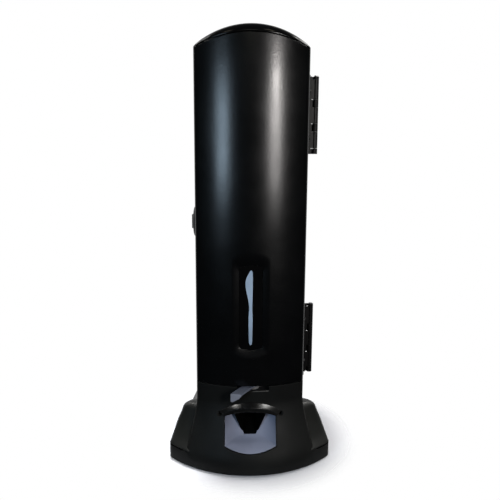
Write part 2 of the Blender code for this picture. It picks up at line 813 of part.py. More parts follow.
def make_skirt():
    heights = [SKIRT_FOOT] + spread(RIM_TOP, FLARE_TOP, FLARE_STEPS) + [NECK_TOP]
    outer = [skirt_ring(z, 0) for z in heights]
    inner = [skirt_ring(z, WALL) for z in heights]
    skirt = dress(shell("base_skirt", outer, inner), BLACK_SATIN, SMOOTH)

    levels = [(SHELL_FOOT, RIM_FLUSH), (RIM_TOP - RIM_CHAMFER, RIM_FLUSH), (RIM_TOP, RIM_CHAMFER)]
    rim_outer = [at_height(base_outline(inset), z) for z, inset in levels]
    rim_inner = [at_height(base_outline(RIM_WALL), z) for z, _ in levels]
    join(skirt, shell("rim", rim_outer, rim_inner, closed=True))
    join(skirt, make_hood())

    front = CORNER_Y - BASE_BULGE - OVERRUN
    low = (SLOT_LEFT, front, SLOT_SILL)
    high = (SLOT_RIGHT, CORNER_Y + LEVER_DEPTH - LEVER_HUB_RADIUS, NECK_TOP + OVERRUN)
    cut(skirt, block("cutter_lever_slot", low, high))

    sections = []
    columns = outlet_columns(0, COLUMN_STEPS)
    for y in (front, CORNER_Y + MOUTH_DEPTH / 2):
        sections.append([((x, y, low_z), (x, y, high_z)) for x, low_z, high_z in columns])
    cut(skirt, strip_solid("cutter_outlet", sections))

    for side in (-1, 1):
        x = side * (HOOD_HALF_SPAN + DIMPLE_SPREAD)
        z = HOOD_APEX - HOOD_DROP - DIMPLE_FALL
        y = skirt_y(x, z) - DIMPLE_RADIUS + DIMPLE_DEPTH
        angles = spread(-math.pi / 2, math.pi / 2, DIMPLE_STEPS)[1:-1]
        ball = [(DIMPLE_RADIUS * math.cos(a), DIMPLE_RADIUS * math.sin(a)) for a in angles]
        ball = [(0, -DIMPLE_RADIUS), *ball, (0, DIMPLE_RADIUS)]
        name = "cutter_dimple_" + ("left" if side < 0 else "right")
        cut(skirt, turned(name, ball, COLUMN_STEPS, along("Z", x, y, z)))


def wing_ring(shares, thickness):
    """Plan of the housing at one level of its profile, drawn in by a wall thickness."""
    height, inset, setback, rear_inset = shares
    foot = RIM_TOP + SEAT
    z = foot + (WING_TOP - foot - thickness) * height
    half = BASE_HALF - WING_INSET * inset - thickness
    centre_y = BASE_ARC_Y + WING_SETBACK * setback
    waist = (BASE_WAIST_HALF - WING_WAIST_INSET * rear_inset - thickness, BASE_WAIST_Y)
    rear_half = BASE_REAR_HALF - WING_REAR_INSET * rear_inset - thickness
    back_y = BASE_BACK - WING_BACK_INSET * rear_inset - thickness
    corner = WING_CORNER - thickness
    front = front_outline(half, BASE_ARC - thickness, centre_y, corner, waist, WING_STEPS, WING_CHORD_SHARE)
    rear = rear_outline(rear_half, waist, back_y, WING_REAR_CORNER - thickness, 1)
    return at_height(closed_outline(front, rear), z)


def make_housing():
    rings = [wing_ring(shares, 0) for shares in WING_PROFILE_SHARES]
    housing = dress(loft("base_housing", rings), BLACK_SATIN, SMOOTH)

    cavity = [wing_ring(shares, WALL) for shares in WING_PROFILE_SHARES]
    cavity.insert(0, [(x, y, z - OVERRUN) for x, y, z in cavity[0]])
    cut(housing, loft("cutter_housing_cavity", cavity))

    grow = WING_CLEARANCE
    side = TOWER_HALF + grow
    envelope = []
    for z in [RIM_TOP - OVERRUN] + spread(RIM_TOP, FLARE_TOP, FLARE_STEPS):
        half, radius, centre_y, corner = skirt_section(z)
        half += grow
        front = front_outline(half, radius + grow, centre_y, corner + grow, (half, SEAM_Y + grow))
        start = (side, SEAM_Y + grow + SEAT)
        rear = rear_outline(side, start, TOWER_BACK + grow, TOWER_REAR_CORNER + grow, 1)
        envelope.append(at_height(front + rear, z))
    cut(housing, loft("cutter_skirt_envelope", envelope))


def loop_with_sides(sill, head):
    """Points (x, z) along a sill and a head, from left to right, as a loop with points down its sides."""

    def side(start, end):
        steps = zip(spread(start[0], end[0], SIDE_STEPS), spread(start[1], end[1], SIDE_STEPS))
        return list(steps)[1:-1]

    return sill + side(sill[-1], head[-1]) + head[::-1] + side(head[0], sill[0])


def chute_frame(inset, depth):
    """The outlet's outline as a loop, drawn in by inset, at a depth behind the skirt's surface."""
    columns = outlet_columns(inset, COLUMN_STEPS)
    loop = loop_with_sides([(x, low) for x, low, _ in columns], [(x, high) for x, _, high in columns])
    return [(x, skirt_y(x, z) + depth, z) for x, z in loop]


def chute_mouth(grow, shift):
    """The V-shaped mouth with as many points as the frame, grown outwards and shifted back."""
    low_half = MOUTH_BOTTOM_WIDTH / 2 + grow
    high_half = MOUTH_TOP_WIDTH / 2 + grow
    sill = [(x, MOUTH_BOTTOM - grow) for x in spread(-low_half, low_half, COLUMN_STEPS)]
    head = [(x, MOUTH_TOP + grow) for x in spread(-high_half, high_half, COLUMN_STEPS)]
    return [(x, CORNER_Y + MOUTH_DEPTH + shift, z) for x, z in loop_with_sides(sill, head)]


def make_chute():
    seat = WALL + CHUTE_CLEARANCE
    clear = CHUTE_CLEARANCE
    flange_back = seat + CHUTE_FLANGE_THICKNESS
    rings = [
        chute_frame(clear, CHUTE_RECESS),
        chute_frame(clear, seat),
        chute_frame(clear - CHUTE_FLANGE, seat),
        chute_frame(clear - CHUTE_FLANGE, flange_back),
        chute_mouth(CHUTE_WALL * CHUTE_LIP_SHARE, CHUTE_WALL),
        chute_mouth(0, 0),
    ]
    dress(torus_loft("outlet_chute", rings), GREY_BLUE, SMOOTH)


def ramp_section(depth, share, low_half, floor, high_half, top):
    y = CORNER_Y + depth
    return [
        (-high_half, y, top),
        (-low_half, y, floor),
        (low_half, y, floor),
        (high_half, y, top),
        (high_half + RAMP_WALL, y, top),
        (low_half + RAMP_WALL * share, y, floor - RAMP_WALL),
        (-low_half - RAMP_WALL * share, y, floor - RAMP_WALL),
        (-high_half - RAMP_WALL, y, top),
    ]


def make_ramp():
    back_half = RAMP_BACK_WIDTH / 2
    mouth_low, mouth_high = MOUTH_BOTTOM_WIDTH / 2, MOUTH_TOP_WIDTH / 2
    rings = [
        ramp_section(RAMP_FRONT_DEPTH, 1 / 2, mouth_low, MOUTH_BOTTOM, mouth_high, MOUTH_TOP),
        ramp_section(RAMP_BACK_DEPTH, 1, back_half - RAMP_LEDGE, RAMP_BACK_FLOOR, back_half, RAMP_BACK_TOP),
    ]
    ramp = dress(loft("drop_ramp", rings), BLACK_MATT)
    slope = (RAMP_BACK_FLOOR - MOUTH_BOTTOM) / (RAMP_BACK_DEPTH - RAMP_FRONT_DEPTH)

    def underside(depth):
        return MOUTH_BOTTOM - RAMP_WALL + slope * (depth - RAMP_FRONT_DEPTH)

    front, back = CORNER_Y + RAMP_RIB_FRONT, CORNER_Y + RAMP_RIB_BACK
    outline = [
        (front, SHELL_FOOT),
        (back, SHELL_FOOT),
        (back, underside(RAMP_RIB_BACK) + EMBED),
        (front, underside(RAMP_RIB_FRONT) + EMBED),
    ]
    join(ramp, prism("ramp_rib", outline, -RAMP_RIB / 2, RAMP_RIB / 2, "YZ"))


def make_deck():
    deck = dress(prism("base_deck", tower_outline(WALL + SEAT), DECK_UNDERSIDE, DECK_TOP), BLACK_MATT)
    for side in (-1, 1):
        centre = side * (TOWER_HALF - DECK_RIB_INSET)
        low = (centre - DECK_RIB_WIDTH / 2, CORNER_Y + DECK_RIB_FRONT, DECK_TOP - EMBED)
        high = (centre + DECK_RIB_WIDTH / 2, TOWER_BACK - DECK_RIB_MARGIN, FLOOR_UNDERSIDE - SEAT)
        join(deck, block("deck_rib_" + ("left" if side < 0 else "right"), low, high))
    lug_low = (LUG_RIGHT - LUG_THICKNESS, SPRING_AXIS_Y - LUG_WIDTH / 2, DECK_TOP - EMBED)
    lug_high = (LUG_RIGHT, SPRING_AXIS_Y + LUG_WIDTH / 2, DECK_TOP + LUG_HEIGHT)
    join(deck, block("spring_lug", lug_low, lug_high))
    peg_place = along("X", LUG_RIGHT, SPRING_AXIS_Y, SPRING_AXIS_Z)
    join(deck, cylinder("lug_peg", PEG_RADIUS, -EMBED, PEG_LENGTH, peg_place, COLUMN_STEPS))

    low_z, high_z = DECK_UNDERSIDE - OVERRUN, DECK_TOP + OVERRUN
    drop_left = POCKET_LEFT - SHUTTLE_TRAVEL
    low = (drop_left, POCKET_FRONT, low_z)
    high = (drop_left + POCKET_WIDTH, POCKET_BACK, high_z)
    cut(deck, block("cutter_drop_slot", low, high))
    for name, (left, right, centre) in key_places().items():
        low = (left - SHUTTLE_TRAVEL - KEY_CLEARANCE, centre - KEY_WIDTH / 2 - KEY_CLEARANCE, low_z)
        high = (right + KEY_CLEARANCE, centre + KEY_WIDTH / 2 + KEY_CLEARANCE, high_z)
        cut(deck, block("cutter_groove_" + name, low, high))
    bore = PIVOT_RADIUS + PIVOT_CLEARANCE
    cut(deck, cylinder("cutter_pivot_hole", bore, low_z, high_z, along("Z", PIVOT.x, PIVOT.y, 0)))
    for i, (x, y) in enumerate(POSTS):
        clear = SCREW_RADIUS + SCREW_CLEARANCE
        cut(deck, cylinder(f"cutter_deck_screw_{i + 1}", clear, low_z, high_z, along("Z", x, y, 0)))


def key_places():
    """Left end, right end and centre line of the shuttle's two keys."""
    right = POCKET_RIGHT + SHUTTLE_COVER - SHUTTLE_WALL
    left = right - KEY_LENGTH
    return {
        "front": (left, right, RACK_ROOT_Y + SHUTTLE_FRONT_BAR / 2),
        "rear": (left, right, POCKET_BACK + SHUTTLE_REAR_BAR / 2),
    }


def make_tower_floor():
    plan = tower_outline(WALL + FLOOR_CLEARANCE)
    floor = dress(prism("tower_floor", plan, FLOOR_UNDERSIDE, FLOOR_TOP), BLACK_MATT)
    low = (POCKET_LEFT, POCKET_FRONT, FLOOR_UNDERSIDE - OVERRUN)
    high = (POCKET_RIGHT, POCKET_BACK, FLOOR_TOP + OVERRUN)
    cut(floor, block("cutter_stack_slot", low, high))


def rack_teeth():
    """The rack's front edge from left to right: teeth point to the gear at -Y."""
    pitch = math.pi * GEAR_MODULE
    half = (pitch / 2 - BACKLASH) / 2
    lean = math.tan(PRESSURE_ANGLE)
    pitch_y = PIVOT.y + GEAR_RADIUS
    tip_half = half - GEAR_MODULE * lean
    root_half = half + GEAR_MODULE * DEDENDUM_FACTOR * lean
    points = []
    for k in range(-1, math.ceil(SHUTTLE_TRAVEL / pitch) + 2):
        x = PIVOT.x + pitch * k
        points += [
            (x - root_half, RACK_ROOT_Y),
            (x - tip_half, pitch_y - GEAR_MODULE),
            (x + tip_half, pitch_y - GEAR_MODULE),
            (x + root_half, RACK_ROOT_Y),
        ]
    return points


def make_shuttle():
    left, right = POCKET_LEFT - SHUTTLE_WALL, POCKET_RIGHT + SHUTTLE_COVER
    back = POCKET_BACK + SHUTTLE_REAR_BAR
    outline = [(BAR_LEFT, RACK_ROOT_Y)] + rack_teeth() + [
        (right, RACK_ROOT_Y),
        (right, back),
        (left, back),
        (left, POCKET_FRONT),
        (BAR_LEFT, POCKET_FRONT),
    ]
    shuttle = dress(prism("shuttle", outline, SHUTTLE_FOOT, SHUTTLE_TOP), GREY_PLASTIC)
    low = (POCKET_LEFT, POCKET_FRONT, SHUTTLE_FOOT - OVERRUN)
    high = (POCKET_RIGHT, POCKET_BACK, SHUTTLE_TOP + OVERRUN)
    cut(shuttle, block("cutter_pocket", low, high))
    for name, (key_left, key_right, centre) in key_places().items():
        low = (key_left, centre - KEY_WIDTH / 2, DECK_UNDERSIDE)
        high = (key_right, centre + KEY_WIDTH / 2, SHUTTLE_FOOT + EMBED)
        join(shuttle, block("key_" + name, low, high))
    reach = SPRING_RADIUS + SPRING_WIRE
    low = (BAR_LEFT, SPRING_AXIS_Y - reach, SHUTTLE_FOOT)
    high = (BAR_LEFT + PAD_THICKNESS, SPRING_AXIS_Y + reach, SPRING_AXIS_Z + reach)
    join(shuttle, block("spring_pad", low, high))
    peg_place = along("-X", BAR_LEFT, SPRING_AXIS_Y, SPRING_AXIS_Z)
    join(shuttle, cylinder("shuttle_peg", PEG_RADIUS, -EMBED, PEG_LENGTH, peg_place, COLUMN_STEPS))


def make_spring():
    """Closed turns at both ends and open turns between, as one round wire."""
    start = LUG_RIGHT + SEAT + SPRING_WIRE
    length = SPRING_LENGTH - 2 * SPRING_WIRE
    open_length = length - 2 * SPRING_END_PITCH
    turns = SPRING_ACTIVE_TURNS + 2
    points = []
    for i in range(turns * SPRING_POINTS_PER_TURN + 1):
        turn = i / SPRING_POINTS_PER_TURN
        opened = min(max(turn - 1, 0), SPRING_ACTIVE_TURNS)
        closed = turn - opened
        advance = closed * SPRING_END_PITCH + opened / SPRING_ACTIVE_TURNS * open_length
        angle = 2 * math.pi * turn
        y = SPRING_AXIS_Y + SPRING_RADIUS * math.cos(angle)
        z = SPRING_AXIS_Z + SPRING_RADIUS * math.sin(angle)
        points.append(Vector((start + advance, y, z)))
    curve = bpy.data.curves.new("return_spring", "CURVE")
    curve.dimensions = "3D"
    curve.bevel_depth = SPRING_WIRE
    curve.bevel_resolution = 1
    curve.use_fill_caps = True
    spline = curve.splines.new("POLY")
    spline.points.add(len(points) - 1)
    for target, point in zip(spline.points, points):
        target.co = (*point, 1)
    spring = bpy.data.objects.new("return_spring", curve)
    bpy.context.collection.objects.link(spring)
    dress(spring, STEEL)
    apart = SPRING_POINTS_PER_TURN // 2
    least = min((a - b).length for i, a in enumerate(points) for b in points[i + apart :])
    print(f"return_spring: least gap to itself {(least - 2 * SPRING_WIRE) * 1000:.2f} mm")


def involute(angle):
    return math.tan(angle) - angle


def sector_outline():
    """Plan of the sector gear about its own centre, with its first tooth gap over +Y."""
    base = GEAR_RADIUS * math.cos(PRESSURE_ANGLE)
    root = GEAR_RADIUS - GEAR_MODULE * DEDENDUM_FACTOR
    half = (math.pi * GEAR_MODULE / 2 - BACKLASH) / 2 / GEAR_RADIUS
    step = 2 * math.pi / GEAR_FULL_TEETH
    flank = []
    for radius in spread(base, GEAR_TIP, 4):
        lean = involute(PRESSURE_ANGLE) - involute(math.acos(min(base / radius, 1)))
        flank.append((radius, half + lean))
    flank.insert(0, (root, flank[0][1]))
    polar = []
    for k in range(SECTOR_LAST_TOOTH, SECTOR_FIRST_TOOTH - 1, -1):
        centre = math.pi / 2 + (k + 0.5) * step
        polar += [(radius, centre + lean) for radius, lean in flank]
        polar += [(radius, centre - lean) for radius, lean in reversed(flank)]
    first, last = polar[0][1], polar[-1][1]
    hub = [(SECTOR_HUB_RADIUS, angle) for angle in spread(last, first - 2 * math.pi, ROUND_STEPS)]
    return [(radius * math.cos(angle), radius * math.sin(angle)) for radius, angle in polar + hub]


def make_sector_gear():
    outline = [(PIVOT.x + x, PIVOT.y + y) for x, y in sector_outline()]
    foot = DECK_TOP + SEAT
    top = LEVER_TOP - LEVER_THICKNESS - SEAT
    gear = dress(prism("sector_gear", outline, foot, top, "XY", (*PIVOT.xy, foot)), GREY_PLASTIC)
    bore = PIVOT_RADIUS + PIVOT_CLEARANCE
    place = along("Z", PIVOT.x, PIVOT.y, 0)
    cut(gear, cylinder("cutter_gear_bore", bore, foot - OVERRUN, top + OVERRUN, place))


def make_lever():
    """A flat arm that points half the sweep to the left of straight ahead, with a paddle at its end."""
    lean = LEVER_SWEEP / 2
    ahead = Vector((-math.sin(lean), -math.cos(lean)))
    across = Vector((math.cos(lean), -math.sin(lean)))
    centre = PIVOT.xy

    def place(length, side):
        return centre + ahead * length + across * side

    half = LEVER_WIDTH / 2
    root = math.sqrt(LEVER_HUB_RADIUS**2 - half**2)
    meet = math.atan2(half, root)
    outline = [place(LEVER_SHORT_SIDE, half), place(LEVER_LONG_SIDE, -half)]
    for angle in spread(-meet, meet - 2 * math.pi, ROUND_STEPS):
        outline.append(place(LEVER_HUB_RADIUS * math.cos(angle), LEVER_HUB_RADIUS * math.sin(angle)))
    low = LEVER_TOP - LEVER_THICKNESS
    lever = prism("push_lever", [tuple(p) for p in outline], low, LEVER_TOP, "XY", (*PIVOT.xy, low))
    dress(lever, GREY_BLUE, SMOOTH)

    left, right = place(LEVER_LONG_SIDE, -half), place(LEVER_SHORT_SIDE, half)
    edge = right - left
    inward = Vector((-edge.y, edge.x)).normalized()
    rings = []
    for shift in (-SEAT, PADDLE_THICKNESS):
        ring = []
        for side, height in PADDLE_OUTLINE_SHARES:
            x, y = left + edge * side + inward * shift
            ring.append((x, y, LEVER_TOP - PADDLE_HEIGHT * (1 - height) - SEAT * height))
        rings.append(ring)
    join(lever, loft("paddle", rings))
    bore = PIVOT_RADIUS + PIVOT_CLEARANCE
    where = along("Z", PIVOT.x, PIVOT.y, 0)
    cut(lever, cylinder("cutter_lever_bore", bore, low - OVERRUN, LEVER_TOP + OVERRUN, where))


def make_pivot():
    head = LEVER_TOP + SEAT
    tail = DECK_UNDERSIDE - PIVOT_TAIL
    profile = [
        (0, head + PIVOT_HEAD_HEIGHT),
        (PIVOT_HEAD_RADIUS, head + PIVOT_HEAD_HEIGHT),
        (PIVOT_HEAD_RADIUS, head),
        (PIVOT_RADIUS, head),
        (PIVOT_RADIUS, tail),
        (0, tail),
    ]
    place = along("Z", PIVOT.x, PIVOT.y, 0)
    dress(turned("lever_pivot_bolt", profile, ROUND_STEPS, place, (*PIVOT.xy, 0)), STEEL, SMOOTH)
    top = DECK_UNDERSIDE - SEAT
    dress(nut("lever_pivot_nut", PIVOT_RADIUS, top - NUT_THICKNESS, top, place), STEEL)


def nut(name, thread, low, high, place):
    """A hexagon nut round a shank of this radius."""
    corner = NUT_ACROSS_CORNERS / 2
    body = turned(name, [(0, low), (corner, low), (corner, high), (0, high)], 6, place)
    bore = cylinder("cutter_" + name, thread + SEAT, low - OVERRUN, high + OVERRUN, place)
    cut(body, bore)
    return body


def screw(name, place, head_low):
    """A pan-head screw whose head sits at head_low and whose shank runs down from it."""
    top = head_low + SCREW_HEAD_HEIGHT
    profile = [
        (0, top),
        (SCREW_HEAD_RADIUS * SCREW_CROWN_SHARE, top),
        (SCREW_HEAD_RADIUS, (top + head_low) / 2),
        (SCREW_HEAD_RADIUS, head_low),
        (SCREW_RADIUS, head_low),
        (SCREW_RADIUS, head_low - SCREW_LENGTH),
        (0, head_low - SCREW_LENGTH),
    ]
    return dress(turned(name, profile, SMALL_STEPS, place, place.translation), STEEL, SMOOTH)


def make_deck_screws():
    for name, (x, y) in zip(CORNER_NAMES, POSTS):
        screw("deck_screw_" + name, along("Z", x, y, DECK_TOP), SEAT)


def make_magazine():
    """Two guides with a front lip and a rear flange, either side of the stack."""
    front = POCKET_FRONT - GUIDE_WALL
    back = TOWER_BACK - WALL - SEAT
    middle = (POCKET_LEFT + POCKET_RIGHT) / 2
    near = POCKET_WIDTH / 2
    far = near + GUIDE_WALL
    outline = [
        (far, front),
        (near - GUIDE_LIP + GUIDE_WALL, front),
        (near - GUIDE_LIP + GUIDE_WALL, POCKET_FRONT),
        (near, POCKET_FRONT),
        (near, back),
        (far + GUIDE_FLANGE, back),
        (far + GUIDE_FLANGE, back - GUIDE_WALL),
        (far, back - GUIDE_WALL),
    ]
    for side, name in ((-1, "magazine_guide_left"), (1, "magazine_guide_right")):
        plan = [(middle + side * x, y) for x, y in outline]
        dress(prism(name, plan, GUIDE_FOOT, GUIDE_TOP), GREY_PLASTIC)


def make_follower():
    foot = FLOOR_TOP + SEAT
    left, right = POCKET_LEFT + FOLLOWER_CLEARANCE, POCKET_RIGHT - FOLLOWER_CLEARANCE
    front, back = POCKET_FRONT + FOLLOWER_CLEARANCE, POCKET_BACK - FOLLOWER_CLEARANCE
    middle = (left + right) / 2
    low, high = (left, front, foot), (right, back, foot + FOLLOWER_HEIGHT)
    body = block("follower_weight", low, high, (middle, front, foot))
    dress(body, GREY_BLUE)
    tip = POCKET_FRONT - TAB_REACH
    outline = [
        (tip, foot),
        (front + EMBED, foot),
        (front + EMBED, foot + TAB_THICKNESS),
        (tip + TAB_GRIP_THICKNESS, foot + TAB_THICKNESS),
        (tip + TAB_GRIP_THICKNESS, foot + TAB_GRIP_HEIGHT),
        (tip, foot + TAB_GRIP_HEIGHT),
    ]
    join(body, prism("follower_tab", outline, middle - TAB_WIDTH / 2, middle + TAB_WIDTH / 2, "YZ"))


def hinge_spans():
    """Each knuckle's owner, foot and head, as heights above the hinge's foot."""
    top = HINGE_HEIGHT
    spans = []
    for owner, share in HINGE_KNUCKLE_SHARES:
        foot = top - HINGE_HEIGHT * share
        spans.append((owner, foot, top))
        top = foot
    return spans


def leaf_outline(side):
    """Plan of a leaf: side is -1 for the door's, in front of the axis, and 1 for the case's, behind it."""
    wall = TOWER_HALF + SEAT
    near, far = SEAT, SEAT + HINGE_LEAF
    knuckle = HINGE_KNUCKLE_RADIUS
    start = math.pi + math.asin(far / knuckle)
    end = 3 * math.pi + math.asin(near / knuckle)
    face = wall + HINGE_FOOT
    outline = [(wall, near), (wall, HINGE_FOOT_WIDTH), (face, HINGE_FOOT_WIDTH), (face, far)]
    for angle in spread(start, end, COLUMN_STEPS):
        outline.append((HINGE_AXIS.x + knuckle * math.cos(angle), -knuckle * math.sin(angle)))
    return [(x, HINGE_AXIS.y + side * y) for x, y in outline]


def make_hinge(name, foot, shell_of):
    top = foot + HINGE_HEIGHT
    axis = along("Z", HINGE_AXIS.x, HINGE_AXIS.y, 0)
    leaves = {}
    for owner, side in (("door", -1), ("case", 1)):
        title = f"hinge_{owner}_leaf_{name}"
        leaf = prism(title, leaf_outline(side), foot, top, "XY", (*HINGE_AXIS.xy, foot))
        leaves[owner] = dress(leaf, BLACK_SATIN, SMOOTH)
        reach = HINGE_KNUCKLE_RADIUS + OVERRUN
        cut_left = HINGE_AXIS.x - HINGE_KNUCKLE_RADIUS - HINGE_NOTCH
        for i, (span_owner, low, high) in enumerate(hinge_spans()):
            if span_owner == owner:
                continue
            low_z = foot + low - (HINGE_END_PLAY / 2 if low > SEAT else OVERRUN)
            high_z = foot + high + (HINGE_END_PLAY / 2 if high < HINGE_HEIGHT - SEAT else OVERRUN)
            low_corner = (cut_left, HINGE_AXIS.y - reach, low_z)
            high_corner = (HINGE_AXIS.x + reach, HINGE_AXIS.y + reach, high_z)
            cut(leaf, block(f"cutter_{title}_{i}", low_corner, high_corner))
        bore = HINGE_PIN_RADIUS + HINGE_PIN_CLEARANCE
        cut(leaf, cylinder("cutter_bore_" + title, bore, foot - OVERRUN, top + OVERRUN, axis, SMALL_STEPS))
        for i, share in enumerate(HINGE_SCREW_SHARES):
            y = HINGE_AXIS.y + side * (HINGE_FOOT_WIDTH + HINGE_LEAF) / 2
            place = along("X", TOWER_HALF + SEAT + HINGE_FOOT, y, foot + HINGE_HEIGHT * share)
            screw(f"hinge_screw_{owner}_{name}_{'lower' if i == 0 else 'upper'}", place, SEAT)
            clear = SCREW_RADIUS + SCREW_CLEARANCE
            hole_name = f"cutter_hinge_screw_{owner}_{name}_{i}"
            hole = cylinder(hole_name, clear, -SCREW_LENGTH, OVERRUN, place, SMALL_STEPS)
            cut(leaf, hole)
            cut(shell_of[owner], hole)
    head = top + SEAT
    profile = [
        (0, head + HINGE_PIN_HEAD_HEIGHT),
        (HINGE_PIN_HEAD_RADIUS, head + HINGE_PIN_HEAD_HEIGHT),
        (HINGE_PIN_HEAD_RADIUS, head),
        (HINGE_PIN_RADIUS, head),
        (HINGE_PIN_RADIUS, foot),
        (0, foot),
    ]
    pin = turned("hinge_pin_" + name, profile, COLUMN_STEPS, axis, (*HINGE_AXIS.xy, foot))
    dress(pin, STEEL, SMOOTH)


def make_rear_shell():
    rings = {}
    for inset in (0, WALL):
        start = (TOWER_HALF - inset, SEAM_Y + SEAT)
        plan = rear_outline(TOWER_HALF - inset, start, TOWER_BACK - inset, TOWER_REAR_CORNER - inset)
        rings[inset] = [at_height(plan, SHELL_FOOT), [(x, y, eaves(x) - SEAT) for x, y in plan]]
    case = dress(shell("rear_shell", rings[0], rings[WALL]), BLACK_SATIN, SMOOTH)
    clear = SPINDLE_RADIUS + SPINDLE_CLEARANCE
    cut(case, cylinder("cutter_spindle_hole", clear, -WALL - OVERRUN, OVERRUN, along("-X", *LATCH_AXIS)))
    return case


def window_columns(width, top, bottom, sag, grow=0):
    """Columns (x, low z, high z) across an opening with an arched head and sill."""
    half = width / 2 + grow
    arc = arc_radius(width / 2, sag) + grow
    columns = []
    for x in spread(-half, half, COLUMN_STEPS):
        drop = arch(x, arc)
        columns.append((x, bottom - grow + drop, top + grow - drop))
    return columns


def make_door():
    rings = {}
    for inset in (0, WALL):
        half = TOWER_HALF - inset
        plan = front_outline(half, TOWER_ARC - inset, TOWER_ARC_Y, TOWER_CORNER - inset, (half, SEAM_Y))
        rings[inset] = [at_height(plan, DOOR_FOOT), [(x, y, eaves(x) - DOOR_HEAD_GAP) for x, y in plan]]
    door = dress(shell("door_shell", rings[0], rings[WALL]), BLACK_SATIN, SMOOTH)

    inner_y = CORNER_Y + PANEL_FRONT_DEPTH
    back_y = inner_y + PANEL_LAND
    outer = window_columns(WINDOW_WIDTH, WINDOW_TOP, WINDOW_BOTTOM, WINDOW_ARCH)
    inner = window_columns(PANEL_WIDTH, PANEL_TOP, PANEL_BOTTOM, PANEL_ARCH)
    boss = window_columns(WINDOW_WIDTH, WINDOW_TOP, WINDOW_BOTTOM, WINDOW_ARCH, BOSS_MARGIN)
    front = [((x, door_y(x) + WALL / 2, low), (x, door_y(x) + WALL / 2, high)) for x, low, high in boss]
    back = [((x, back_y, low), (x, back_y, high)) for x, low, high in boss]
    join(door, strip_solid("window_boss", [front, back]))

    mouth = []
    for (x0, low0, high0), (x1, low1, high1) in zip(outer, inner):
        column = []
        for z0, z1 in ((low0, low1), (high0, high1)):
            far = Vector((x0, door_y(x0), z0))
            near = Vector((x1, inner_y, z1))
            column.append(near + (far - near) * (1 + BEVEL_EXTENSION_SHARE))
        mouth.append(tuple(column))
    throat = [((x, inner_y, low), (x, inner_y, high)) for x, low, high in inner]
    end = [((x, back_y + OVERRUN, low), (x, back_y + OVERRUN, high)) for x, low, high in inner]
    cut(door, strip_solid("cutter_window", [mouth, throat, end]))
    return door


def make_panel():
    front_y = CORNER_Y + PANEL_FRONT_DEPTH + SEAT
    seat_y = CORNER_Y + PANEL_FRONT_DEPTH + PANEL_LAND + SEAT
    levels = [
        (front_y, -SEAT),
        (seat_y, -SEAT),
        (seat_y, PANEL_FLANGE),
        (seat_y + PANEL_FLANGE_THICKNESS, PANEL_FLANGE),
    ]
    sections = []
    for y, grow in levels:
        columns = window_columns(PANEL_WIDTH, PANEL_TOP, PANEL_BOTTOM, PANEL_ARCH, grow)
        sections.append([((x, y, low), (x, y, high)) for x, low, high in columns])
    dress(strip_solid("window_panel", sections), BLACK_GLOSS)


def make_sign():
    """A table knife, blade up, as a thin inlay on the panel."""
    height = SIGN_TOP - SIGN_BOTTOM
    left = SIGN_OFFSET - SIGN_WIDTH / 2
    sides = []
    for column in (1, 2):
        places = [(row[column], row[0]) for row in SIGN_OUTLINE_SHARES]
        sides.append([(left + SIGN_WIDTH * across, SIGN_BOTTOM + height * up) for across, up in places])
    outline = sides[0] + sides[1][::-1]
    back_y = CORNER_Y + PANEL_FRONT_DEPTH
    dress(prism("knife_sign", outline, back_y - SIGN_THICKNESS, back_y, "XZ"), SIGN_BLUE)


def cap_ring(inset, share):
    """The tower's outline drawn in by inset, at a share of the way up from the eaves to the roof."""
    return [(x, y, eaves(x) + (roof(x) - eaves(x)) * share) for x, y in tower_outline(inset)]


def make_cap():
    """An arched lid with a bullnose rim, pocketed underneath."""
    rings = []
    for i in range(CORNER_STEPS + 1):
        angle = math.pi / 2 * i / CORNER_STEPS
        share = math.sin(angle)
        inset = ROOF_EDGE * (1 - math.cos(angle))
        rings.append(cap_ring(inset, share))
    rings.insert(0, cap_ring(ROOF_LIP, 0))
    rings.insert(0, cap_ring(ROOF_LIP, ROOF_POCKET_SHARE))
    count = len(rings[0])
    vertices = [point for ring in rings for point in ring]
    faces = []
    for k in range(len(rings) - 1):
        for i in range(count):
            after = (i + 1) % count
            faces.append((k * count + i, k * count + after, (k + 1) * count + after, (k + 1) * count + i))
    half = count // 2
    for base in (0, len(vertices) - count):
        for i in range(half):
            mirrored = (base + (count - i - 1) % count, base + (count - i) % count)
            faces.append(tuple(dict.fromkeys((base + i, base + i + 1, *mirrored))))
    dress(mesh_object("top_cap", vertices, faces), BLACK_GLOSS, SMOOTH)


